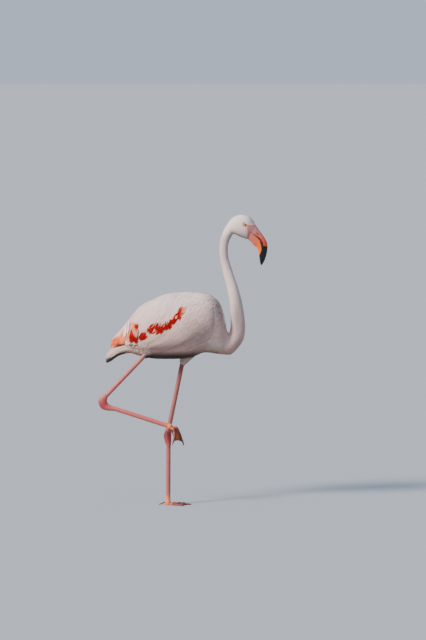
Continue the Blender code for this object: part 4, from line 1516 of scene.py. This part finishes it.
# %% The vane built on that line
def vanes(name, path, outs, width, thick, tint, home, section, twist):
    """Closed thin solids. Corner = line + across * width * a + out * (thick * b + width * c), for
    each (a, b, c) of the section. home is each root's place on the unwrapped skin."""
    count, stations = path.shape[:2]
    section = np.asarray(section)
    along = unit(np.gradient(path, axis=1))
    across = unit(np.cross(outs, along))
    up = np.cross(along, across)
    cosine, sine = np.cos(twist)[:, None, None], np.sin(twist)[:, None, None]
    across, up = across * cosine + up * sine, up * cosine - across * sine
    a, b, c = (section[:, k][None, None, :, None] for k in range(3))
    wide, deep = width[:, :, None, None], thick[:, :, None, None]
    corners = path[:, :, None] + across[:, :, None] * wide * a
    corners = corners + up[:, :, None] * (deep * b + wide * c)
    sides = len(section)
    index = np.arange(count * stations * sides).reshape(count, stations, sides)
    low, high = index[:, :-1], index[:, 1:]
    turned = (np.arange(sides) + 1) % sides
    quads = np.stack([low, low[:, :, turned], high[:, :, turned], high], -1).reshape(-1, 4)
    caps = np.concatenate([index[:, 0, ::-1], index[:, -1]])
    shade = np.broadcast_to(tint[:, :, None], (count, stations, sides, 3)).reshape(-1, 3)
    share = np.linspace(0, 1, stations)[None, :, None] + 0 * index
    spread = section[:, 0] / 2 + 0.5 + 0 * index
    vane_map = np.stack([spread, share], -1).reshape(-1, 2)
    patch = np.stack([spread - 0.5, share - 0.5], -1) * PATCH + home[:, None, None]
    maps = {"vane": vane_map, "OFBake": patch.reshape(-1, 2)}
    made = mesh_object(name, corners.reshape(-1, 3), [quads, caps], shade, maps)
    made.data.set_sharp_from_angle(angle=math.radians(SHARP_ANGLE))
    return made


print("a flat vane of 6 stations has", 2 * len(FLAT) * 5 + 2 * (len(FLAT) - 2), "triangles")


def unwrapped(u, t, first=-1.5, last=BILL_BASE, shelf=0.0, height=0.70):
    """A root's place on the skin's unwrap: along a surface from first to last, and round it. The
    body has the lowest shelf of the map, and wings, tail and thighs have shelves above it."""
    along = 0.02 + 0.96 * (u - first) / (last - first)
    return np.stack([along, shelf + 0.01 + height * (t / (2 * np.pi) % 1)], -1)


# %% [markdown]
# ## The plumage's finish
# A vane is made of fine barbs that slant away from its shaft. They are far too fine to model, so
# each feather has its own map, across and along, and a sine over it shades and raises them. The
# feather's colour comes from its mesh.

# %% The plumage's finish
plume_paint = Paint("plumage", Roughness=0.75, Specular_IOR_Level=0.15)
vane_place = plume_paint.node("ShaderNodeUVMap", {"uv_map": "vane"})
vane_across = plume_paint.node("ShaderNodeSeparateXYZ", values={0: vane_place}, output=0)
vane_along = plume_paint.node("ShaderNodeSeparateXYZ", values={0: vane_place}, output=1)
from_shaft = (vane_across - 0.5).absolute()
barbs = (vane_along * 150.0 - from_shaft * 60.0).sine() * 0.5 + 0.5
shaft = 1.0 - from_shaft.smooth(0.0, 0.06)
cloud = plume_paint.noise(38.0, 3.0)
shading = cloud * 0.12 + barbs * 0.05 + 0.90
plume_paint.set(Base_Color=plume_paint.tinted(plume_paint.attribute("tint", "Color"), shading))
plume_paint.bump(barbs * 0.4 + shaft, 0.15, 0.0003)
print("plumage has", len(plume_paint.tree.nodes), "nodes")

# %% [markdown]
# ## The lie of the coat
# Feathers lie straight back along the belly, slant down over the flanks, and hang steeply from the
# back over the wing. Towards the neck the slant fades out, and they follow the neck up. The lie
# could be combed by hand, but a formula in height and length lies smooth everywhere.

# %% The lie of the coat, and a feather's colour along its length
def coat_lie(point, u, t):
    """0 along belly and ridge, and over the flank up to 62 degrees below the line of the back."""
    height = (1 - np.cos(t)) / 2
    steep = 62 * ease(height, 0.02, 0.66) * (1 - 0.75 * ease(height, 0.88, 1.0))
    steep = steep * (1 - 0.25 * (1 - ease(point[..., 0], -0.17, -0.06)))
    return np.radians(steep * (1 - ease(u, NECK_START - 2.2, NECK_START - 0.2)))


def straight_lie(degrees):
    """The same slant all over a tract."""
    return lambda point, u, t: np.radians(degrees) + 0 * t


def plain(colour):
    """One colour all along."""
    return lambda path, shares: np.asarray(colour) + 0 * path


def by_place(path, shares):
    """Each feather takes the body's colour where it shows most."""
    return np.repeat(body_colour(path[:, int(0.7 * len(shares))])[:, None], len(shares), 1)


def toward_tip(base, tip, start, end):
    """One colour at the root and another at the tip."""

    def colour(path, shares):
        """From start to end, as shares of the length, the first gives way to the second."""
        return mixed(np.asarray(base), tip, ease(shares, start, end) + 0 * path[..., 0])

    return colour


flank_lie = np.degrees(coat_lie(body(*FLANK_PLACE), *FLANK_PLACE))
print("mid flank lies", round(float(flank_lie[0])), "degrees down")


# %% One tract of feathers
def clothe(
    name,
    surface,
    u,
    t,
    length,
    half_width,
    sink,
    tint=by_place,
    lie=coat_lie,
    from_tip=False,
    stations=6,
    section=FLAT,
    widest=0.5,
    tip=0.6,
    thick=0.00022,
    lift=0.0003,
    ruffle=0.0004,
    spread=4.0,
    twist=3.0,
    shelf=None,
    uneven=0.06,
    clump=0.0,
):
    """Feathers at places of a surface. length, half_width and sink are metres, one for all or one
    each. sink is how deep the root lies, lift how high the tip, ruffle how much that varies by
    chance, and clump how much it varies from streak to streak."""
    n = len(u)
    shares = np.linspace(0, 1, stations) ** 0.9
    length = length * (0.86 + 0.28 * random.random(n))
    turn = np.radians(random.normal(0, spread, n))
    path, outs, place = walk(surface, u, t, length, lambda *at: lie(*at) + turn, shares, from_tip)
    ways = unit(np.diff(path, axis=1))
    keep = (ways[:, 1:] * ways[:, :-1]).sum(-1).min(1) > 0.6  # a line that folds makes no feather
    path, outs, place = path[keep], outs[keep], (place[0][keep], place[1][keep])
    sink, half_width = (np.zeros(n) + sink)[keep], (np.zeros(n) + half_width)[keep]
    n = keep.sum()
    rise = lift - sink[:, None] * (1 - shares) ** 2.4
    stray = ruffle * random.random((n, 1)) + clump * streak(path[:, -1])[:, None]
    rise = rise + stray * shares**2
    path = path + outs * rise[..., None]
    colour = tint(path, shares) * (1 - uneven + 2 * uneven * random.random((n, 1, 1)))
    width = half_width[:, None] * blade(shares, widest, tip)
    width = width * (0.85 + 0.30 * random.random((n, 1)))
    deep = thick * (1.1 - 0.8 * shares)[None] + np.zeros((n, 1))
    home = unwrapped(*place, **(shelf or {}))
    lean = np.radians(random.normal(0, twist, n))
    made = vanes(name, path, outs, width, deep, colour, home, section, lean)
    return finish_piece(made, plume_paint, "plumage")


print("each tract is one piece")

# %% [markdown]
# ## The small feathers
# Contour feathers cover trunk, neck and head like shingles. They are long and narrow on the flanks,
# where they part into streaks, and get shorter and finer up the neck to the face. Random places
# would leave bald spots and clots. Rows are spaced evenly along the surface, so none crowd where
# the neck bends, and each root then strays a little.

# %% Trunk
TRUNK_START = -0.6  # a little behind the last rib
COAT_GAP = 0.0062

u, t = roots(body, TRUNK_START, NECK_START + 0.6, COAT_GAP, COAT_GAP)
x, y, z = body(u, t).T
low_edge = np.interp(x, (-0.180, -0.140), (0.634, 0.650))
bare = (x < -0.140) & (z > low_edge) & (z < wing_top(x) - 0.005)  # long feathers lie here instead
bare &= np.abs(y) > 0.030
bare |= x < -0.188
u, t = u[~bare], t[~bare]
front = ease(x[~bare], 0.10, 0.23)
for name, mask in (("coat_left", np.sin(t) > 0), ("coat_right", np.sin(t) <= 0)):
    clothe(
        name,
        body,
        u[mask],
        t[mask],
        length=0.050 - 0.022 * front[mask],
        half_width=0.0036 - 0.0004 * front[mask],
        sink=0.0065 - 0.0025 * front[mask],
        tip=1.0,
        ruffle=0.0003,
        twist=2.0,
        thick=0.00018,
        clump=0.0004,
    )

# %% Neck
u, t = roots(body, NECK_START - 0.4, HEAD_START + 0.3, 0.0033, 0.0024)
thin = ease(u, NECK_START, NECK_START + 6)
clothe(
    "coat_neck",
    body,
    u,
    t,
    length=0.017 - 0.005 * thin,
    half_width=0.0021 - 0.0006 * thin,
    sink=0.0017,
    stations=4,
    section=TUFT,
    widest=0.4,
    tip=0.8,
    thick=0.00016,
    lift=0.0001,
    ruffle=0.0003,
)

# %% Head
u, t = roots(body, HEAD_START - 0.1, BILL_BASE - 0.1, 0.0019, 0.0018)
clothed = bare_face(body(u, t)) < 0.5
clothe(
    "coat_head",
    body,
    u[clothed],
    t[clothed],
    length=0.0085,
    half_width=0.0011,
    sink=0.0011,
    stations=4,
    section=TUFT,
    widest=0.45,
    tip=0.8,
    thick=0.00010,
    lift=0.0,
    ruffle=0.0002,
    spread=7.0,
    twist=1.0,
)

# %% [markdown]
# ## The folded wing
# Three kinds of feather make the wing's pattern. Crimson coverts lie lowest and show as a ragged
# band. Long white scapulars hang from the back and end along the band's upper edge, each row a
# little higher. Behind them the longest feathers, white at the root and salmon at the tip, close
# over the rump, and the tips of black flight feathers peep out under them. All are placed by their
# tips, because it is the tips that draw the pattern.


# %% The wing as a surface of its own
def wing(u, t):
    """The wing as a lens of its own, from its tip forwards: an ellipse in each upright section,
    leaning in towards the back."""
    rib = through(WING[::-1], u)
    centre, high = (rib[..., 1] + rib[..., 2]) / 2, (rib[..., 1] - rib[..., 2]) / 2
    rise = -high * np.cos(t)
    stand = rib[..., 3] - rib[..., 4] + WING_LEAN * rise
    y = np.sign(np.sin(t)) * stand + rib[..., 4] * np.sin(t)
    return np.stack([rib[..., 0], y, centre + rise], -1)


def on_flank(x, z, side):
    """The trunk's u and t at places on one flank."""
    return on_side(body, TRUNK_START, NECK_START, x, z, side)


print("wing tip", np.round(wing(np.zeros(1), np.ones(1))[0], 3))


# %% Where the coverts' tips lie
COVERT_GAP = 0.0062
COVERT_LEVELS = (0.9, 0.4, -0.1, -0.6, -1.05)  # 1 is the band's upper edge and -1 its lower


def teeth(x):
    """A saw of 13 mm steps, up to 4 mm above and below 0."""
    return 0.008 * (x / 0.013 % 1.0) - 0.004


def tips_on_band(step, levels, side):
    """Tip places in rows through the band, from its upper edge (1) to its lower (-1), which is
    ragged."""
    x = np.arange(BAND[0][0], BAND[-1][0], step)
    x, level = np.meshgrid(x, levels)
    stagger = step / 2 * (np.arange(len(levels)) % 2)[:, None]
    x = (x + stagger + random.normal(0, 0.0025, x.shape)).ravel()
    level = level.ravel() + random.normal(0, 0.18, x.size)
    upper, lower = band_edge(x, 1), band_edge(x, -1) + 0.002 + 0.6 * teeth(x)
    return on_flank(x, (upper + lower) / 2 + level * (upper - lower) / 2, side)


def covert_colour(path, shares):
    """Crimson with a salmon root, paler all over at the band's front end, and on one in nine."""
    pale = np.maximum(ease(path[:, -1, 0], 0.040, 0.070), random.random(len(path)) < 0.11)
    colour = mixed(CRIMSON, PEACH, pale)[:, None]
    return SALMON + (colour - SALMON) * ease(shares, 0.0, 0.45)[:, None]


print(len(COVERT_LEVELS), "rows of coverts in the band")

# %% Coverts: the crimson band
for side, word in FLANKS:
    clothe(
        f"coverts_{word}",
        body,
        *tips_on_band(COVERT_GAP, COVERT_LEVELS, side),
        length=0.036,
        half_width=0.0040,
        sink=0.0050,
        tint=covert_colour,
        from_tip=True,
        widest=0.55,
        tip=1.2,
        lift=0.0010,
        ruffle=0.0008,
        stations=7,
        spread=6,
        uneven=0.20,
    )


# %% Scapulars
SCAPULAR_ROWS, SCAPULAR_RISE, SCAPULAR_GAP = 11, 0.0105, 0.0070


def scapular_tips(side):
    """Rows from the band's upper edge to the back, each half a step along from the last."""
    places = []
    for row in range(SCAPULAR_ROWS):
        x = np.arange(-0.165, 0.125, SCAPULAR_GAP) + SCAPULAR_GAP / 2 * (row % 2)
        x = x + random.normal(0, 0.002, len(x))
        z = band_edge(x, 1) + 0.6 * teeth(x + 0.004) + SCAPULAR_RISE * row + 0.001
        places.append(np.stack([x, z + random.normal(0, 0.0022, len(x))]))
    x, z = np.hstack(places)
    on_wing = z < wing_top(x) + 0.012
    return on_flank(x[on_wing], z[on_wing], side)


for side, word in FLANKS:
    clothe(
        f"scapulars_{word}",
        body,
        *scapular_tips(side),
        length=0.088,
        half_width=0.0044,
        sink=0.0060,
        from_tip=True,
        stations=9,
        tip=1.1,
        lift=0.0010,
        ruffle=0.0005,
        section=ARCHED,
        twist=1.5,
        uneven=0.05,
        clump=0.0008,
    )

# %% [markdown]
# ## The wing's hind end
# Behind the band the pattern is made of a few feathers of each kind, which lie over one another.
# Each kind is a function of the side. The sides take turns, from the lowest feathers to the
# topmost, so the same run of chance numbers always serves the same feathers.

# %% Where the tips of the hind patch lie: x and z
# Red ones in two lobes, paler ones over them, a red spot above, and cream ones behind it.
REAR_TIPS = (
    (-0.152, 0.668),
    (-0.149, 0.660),
    (-0.146, 0.656),
    (-0.143, 0.657),
    (-0.140, 0.663),
    (-0.149, 0.678),
    (-0.145, 0.680),
    (-0.142, 0.676),
    (-0.138, 0.669),
    (-0.135, 0.664),
    (-0.132, 0.659),
    (-0.129, 0.655),
    (-0.126, 0.653),
)
PALE_TIPS = (
    (-0.1385, 0.695),
    (-0.1350, 0.689),
    (-0.1315, 0.684),
    (-0.1280, 0.680),
    (-0.1240, 0.678),
)
SPOT_TIPS = ((-0.1275, 0.7155), (-0.1245, 0.7140), (-0.1215, 0.7160))
CREAM_TIPS = ((-0.172, 0.677), (-0.168, 0.681), (-0.159, 0.690))
FLIGHT_TIPS = ((-0.154, 0.6505), (-0.1325, 0.6505))
FLIGHT_SPAN = (0, 10)  # the part of the trunk, as u, that the flight feathers are looked for in
MIDDLE_TIPS = ((-0.105, 0.677), MIDDLE_PATCH[1], 14)  # an ellipse, and how many fall in it
print(len(REAR_TIPS), "red tips in the hind patch")


# %% Hind patch: red and pale coverts
def patch_tips(centre, half, count, side):
    """Tips at random in an ellipse: centre + half (r cos a, r sin a)."""
    a, r = random.random(count) * 2 * np.pi, np.sqrt(random.random(count))
    x, z = centre[0] + half[0] * r * np.cos(a), centre[1] + half[1] * r * np.sin(a)
    return on_flank(x, z, side)


def rear_coverts(side, word):
    """Red feathers in two lobes."""
    clothe(
        f"rear_coverts_{word}",
        body,
        *on_flank(*np.transpose(REAR_TIPS), side),
        length=0.034,
        half_width=0.0032,
        sink=0.0030,
        tint=plain(CRIMSON),
        lie=straight_lie(76),
        from_tip=True,
        widest=0.6,
        tip=1.0,
        lift=0.0034,
        ruffle=0.0008,
        stations=8,
        spread=3,
        uneven=0.20,
    )


print("an ellipse holds", MIDDLE_TIPS[2], "tips on each side")


# %% Pale coverts and the red spot
def pale_coverts(side, word):
    """Pale salmon feathers that part the lobes."""
    clothe(
        f"pale_coverts_{word}",
        body,
        *on_flank(*np.transpose(PALE_TIPS), side),
        length=0.036,
        half_width=0.0032,
        sink=0.0010,
        tint=toward_tip(SALMON, PALE_SALMON, 0.1, 0.6),
        lie=straight_lie(78),
        from_tip=True,
        tip=1.0,
        lift=0.0046,
        stations=8,
        spread=2,
        uneven=0.12,
    )


def spot_coverts(side, word):
    """A small red spot over the pale feathers."""
    clothe(
        f"spot_coverts_{word}",
        body,
        *on_flank(*np.transpose(SPOT_TIPS), side),
        length=0.018,
        half_width=0.0034,
        sink=0.0010,
        tint=toward_tip(SALMON, CRIMSON, 0.0, 0.3),
        lie=straight_lie(80),
        from_tip=True,
        tip=0.8,
        lift=0.0052,
        spread=2,
    )


print(len(PALE_TIPS), "pale tips and", len(SPOT_TIPS), "in the spot")


# %% Cream scapulars
def cream_scapulars(side, word):
    """Cream feathers behind the patch, over the salmon ones."""
    clothe(
        f"cream_scapulars_{word}",
        body,
        *on_flank(*np.transpose(CREAM_TIPS), side),
        length=0.046,
        half_width=0.0044,
        sink=0.0010,
        tint=toward_tip(SHELL, RUMP, 0.0, 0.9),
        lie=straight_lie(77),
        from_tip=True,
        widest=0.6,
        tip=0.8,
        lift=0.0058,
        stations=9,
        spread=1,
        section=ARCHED,
    )


print(len(CREAM_TIPS), "cream tips")


# %% Middle coverts and flight feathers
def middle_coverts(side, word):
    """A small red patch between the band and the hind patch."""
    clothe(
        f"middle_coverts_{word}",
        body,
        *patch_tips(*MIDDLE_TIPS, side),
        length=0.032,
        half_width=0.0046,
        sink=0.0040,
        tint=toward_tip(SALMON, CRIMSON, 0.2, 0.4),
        lie=straight_lie(50),
        from_tip=True,
        widest=0.6,
        tip=0.9,
        lift=0.0022,
        ruffle=0.0010,
        stations=7,
        spread=12,
        uneven=0.16,
        section=ARCHED,
    )


def flight_tips(side, word):
    """Two short tips of black flight feathers."""
    clothe(
        f"flight_tips_{word}",
        body,
        *on_side(body, *FLIGHT_SPAN, *np.transpose(FLIGHT_TIPS), side),
        length=0.019,
        half_width=0.0028,
        sink=0.0010,
        tint=plain(BLACK),
        lie=straight_lie(0),
        from_tip=True,
        stations=8,
        lift=0.0072,
        section=ARCHED,
        spread=1,
    )


print(len(FLIGHT_TIPS), "black tips")

# %% Tertials: the long salmon feathers that close over the rump
WING_SHELF = {"first": 0.0, "last": len(WING) - 1.0, "shelf": 0.72, "height": 0.10}
TERTIAL_GAP = 0.0044
TERTIAL_ROWS = 4
# The lowest row's tips: z at places x.
TERTIAL_LOW = ((-0.242, -0.230, -0.206, -0.196, -0.150), (0.627, 0.631, 0.6435, 0.6490, 0.6525))


def wing_lie(point, u, t):
    """Along the wing's back at its top, and up to 44 degrees down from it lower on its side."""
    return np.radians(44 * (1 - ease((1 - np.cos(t)) / 2, 0.2, 1.0)))


def salmon_inside(path, shares):
    """White at the root, salmon from there on, some paler than others, and orange on the lowest
    ones near the wing's tip."""
    tip = path[:, -1]
    low = (1 - ease(tip[:, 2], 0.652, 0.676)) * (1 - ease(tip[:, 0], -0.206, -0.190))
    pale = 0.42 * random.random(len(path)) ** 2 * (1 - low)
    colour = mixed(mixed(SALMON, ORANGE, low), SHELL, pale)[:, None]
    return SHELL + (colour - SHELL) * ease(shares, 0.10, 0.50)[:, None]


def tertials(side, word):
    """Rows of tips from the wing's lower edge up, every other row 3 mm further back or forward."""
    x = np.arange(-0.150, -0.233, -TERTIAL_GAP)
    row = np.repeat(np.arange(TERTIAL_ROWS), len(x))
    x = np.concatenate([x, x + 0.003] * (TERTIAL_ROWS // 2))
    low, high = np.interp(x, *TERTIAL_LOW), wing_top(x) - 0.008
    z = low + (high - low) * row / TERTIAL_ROWS + random.normal(0, 0.0012, len(x))
    clothe(
        f"tertials_{word}",
        wing,
        *on_side(wing, 0, len(WING) - 1, x, np.minimum(z, high), side),
        length=0.088,
        half_width=0.0050,
        sink=0.0030,
        tint=salmon_inside,
        lie=wing_lie,
        from_tip=True,
        stations=10,
        widest=0.6,
        tip=0.9,
        lift=0.0022,
        ruffle=0.0010,
        section=ARCHED,
        shelf=WING_SHELF,
        spread=2.5,
    )


print(TERTIAL_ROWS, "rows of tertials")


# %% The rim along the wing's back
def rim_feathers(side, word):
    """One row of tips along the wing's upper edge, every other one 4 mm lower."""
    x = np.arange(-0.150, -0.224, -0.0036)
    z = wing_top(x) - 0.002 - 0.004 * (np.arange(len(x)) % 2)
    clothe(
        f"rim_feathers_{word}",
        wing,
        *on_side(wing, 0, len(WING) - 1, x, z, side),
        length=0.056,
        half_width=0.0025,
        sink=0.0030,
        tint=toward_tip(SHELL, RIM_PINK, 0.3, 1),
        lie=straight_lie(0),
        from_tip=True,
        stations=8,
        widest=0.6,
        tip=0.8,
        lift=0.0030,
        ruffle=0.0008,
        section=ARCHED,
        shelf=WING_SHELF,
        spread=2.0,
    )


HIND_PATCH_KINDS = (rear_coverts, pale_coverts, spot_coverts, cream_scapulars, middle_coverts)
for side, word in FLANKS:
    for kind in (*HIND_PATCH_KINDS, flight_tips, tertials, rim_feathers):
        kind(side, word)

# %% [markdown]
# ## Tail and thighs
# Eighteen stiff feathers make the tail. Short coverts close over their roots above, and loose,
# longer ones hang under them. The thighs wear small soft feathers that stop in a ragged cuff where
# the bare leg begins. They could be part of the trunk's coat, but their feathers lie another way,
# so tail and thighs are surfaces of their own.

# %% Tail and rump as one surface
# Ribs of the fluffy rump, before the tail's: upper x and z, lower x and z, half width.
RUMP_RIBS = ((-0.0700, 0.6560, -0.0760, 0.6020, 0.0420), (-0.1020, 0.6600, -0.1100, 0.6060, 0.0480))
TAIL_SHELF = {"first": 0.0, "last": 6.0, "shelf": 0.84, "height": 0.06}
# The top of the painted shade along the tail's lower edge: z at places x.
TAIL_SHADE_EDGE = ((-0.25, -0.21, -0.165), (0.586, 0.606, 0.617))


def tail(u, t):
    """Tail and rump from the tail's tip forwards. Cosine and sine are raised to a power under 1,
    which makes each wide flat ellipse a little boxy."""
    rib = through([*TAIL[::-1], *RUMP_RIBS[::-1]], u)
    middle, half = (rib[..., 0:2] + rib[..., 2:4]) / 2, (rib[..., 2:4] - rib[..., 0:2]) / 2
    high, wide = (np.sign(wave) * np.abs(wave) ** 0.75 for wave in (np.cos(t), np.sin(t)))
    plane = middle + half * high[..., None]
    return np.stack([plane[..., 0], rib[..., 4] * wide, plane[..., 1]], -1)


def tail_colour(path, shares):
    """Cream above, with painted shade on the lower edge towards the tip."""
    x, z = path[..., 0], path[..., 2]
    under = 1 - ease(z - np.interp(x, *TAIL_SHADE_EDGE), 0.000, 0.008)
    above = mixed(RUMP, TAIL_TAN, 0.55 * (1 - ease(x, -0.20, -0.15)))
    return mixed(above, TAIL_SHADE, under * (1 - ease(x, -0.175, -0.155)))


def fan(count, spread):
    """Angles round the tail from one side over the back to the other."""
    return np.pi + np.radians(np.linspace(-spread, spread, count))


# What all the tail's tracts share.
ON_TAIL = {"tint": tail_colour, "lie": straight_lie(0), "shelf": TAIL_SHELF}
print("tail tip", np.round(tail(np.zeros(1), np.zeros(1))[0], 3))

# %% Tail feathers
TAIL_FEATHERS = 18
clothe(
    "tail_feathers",
    tail,
    np.full(TAIL_FEATHERS, 3.8),
    fan(TAIL_FEATHERS, 100),
    length=0.112,
    half_width=0.0066,
    sink=0.0040,
    **ON_TAIL,
    stations=12,
    widest=0.6,
    tip=0.8,
    lift=0.0006,
    ruffle=0.0012,
    section=ARCHED,
    spread=2.5,
    twist=5,
    thick=0.0004,
)

# %% Tail coverts and rump fluff
u, t = roots(tail, 0.9, 5.6, 0.0062, 0.0060)
clothe(
    "tail_coverts",
    tail,
    u,
    t,
    length=0.042,
    half_width=0.0022,
    sink=0.0060,
    **ON_TAIL,
    tip=1.1,
    spread=11,
    ruffle=0.0026,
    lift=0.0006,
    clump=0.0004,
    uneven=0.12,
)
low = (np.cos(t) > 0.1) & (u > 3.0)
clothe(
    "rump_fluff",
    tail,
    u[low],
    t[low],
    length=0.030,
    half_width=0.0016,
    sink=0.0020,
    **ON_TAIL,
    tip=1.0,
    spread=20,
    ruffle=0.0050,
    section=TUFT,
    thick=0.00014,
)


# %% Rump skirt and tail wisps
SKIRT_ROWS, SKIRT_RISE, SKIRT_GAP = 6, 0.0048, 0.0034
# The skirt's lowest row: z at places x.
SKIRT_LOW = ((-0.172, -0.130, -0.085), (0.626, 0.620, 0.611))


def skirt_tips(side):
    """Rows of tips one over another along the rump's side, each moved a little by chance."""
    x = np.tile(np.arange(-0.172, -0.085, SKIRT_GAP), SKIRT_ROWS)
    row = np.repeat(np.arange(SKIRT_ROWS), len(x) // SKIRT_ROWS)
    x = x + random.normal(0, 0.0012, len(x))
    z = np.interp(x, *SKIRT_LOW) + SKIRT_RISE * row + random.normal(0, 0.002, len(x))
    return on_flank(x, z, side)


for side, word in FLANKS:
    clothe(
        f"rump_skirt_{word}",
        body,
        *skirt_tips(side),
        length=0.024,
        half_width=0.0027,
        sink=0.0010,
        tint=plain(RUMP),
        lie=straight_lie(48),
        from_tip=True,
        lift=0.0010,
        ruffle=0.0080,
        spread=16,
        uneven=0.10,
    )

WISPS = 26
clothe(
    "tail_wisps",
    tail,
    np.linspace(0.7, 1.5, WISPS) % 0.31 + 1.0,
    fan(WISPS, 120),
    length=0.044,
    half_width=0.0015,
    sink=0.0020,
    **ON_TAIL,
    tip=1.1,
    spread=7,
    ruffle=0.0040,
    stations=8,
    uneven=0.12,
)


# %% Thighs
def thigh_colour(path, shares):
    """The body's colour above, and cream on the standing leg's cuff."""
    cuff = (1 - ease(path[..., 2], 0.582, 0.604)) * (path[..., 0] > 0)
    return mixed(by_place(path, shares), RUMP, 0.8 * cuff)


for k, side in enumerate(SIDES):
    thigh = np.array(LEGS[side]["thigh"])[::-1]
    thigh_surface = tube(thigh[:, :3], thigh[:, 3] * (0.80, 0.95, 1.0))
    clothe(
        f"thigh_feathers_{side}",
        thigh_surface,
        *roots(thigh_surface, 0.05, 2.0, 0.0040, 0.0042),
        length=0.027,
        half_width=0.0026,
        sink=0.0030,
        tint=thigh_colour,
        lie=straight_lie(0),
        tip=0.9,
        shelf={"first": 0.0, "last": 2.0, "shelf": 0.91 + 0.04 * k, "height": 0.03},
        ruffle=0.0016,
        spread=12,
    )
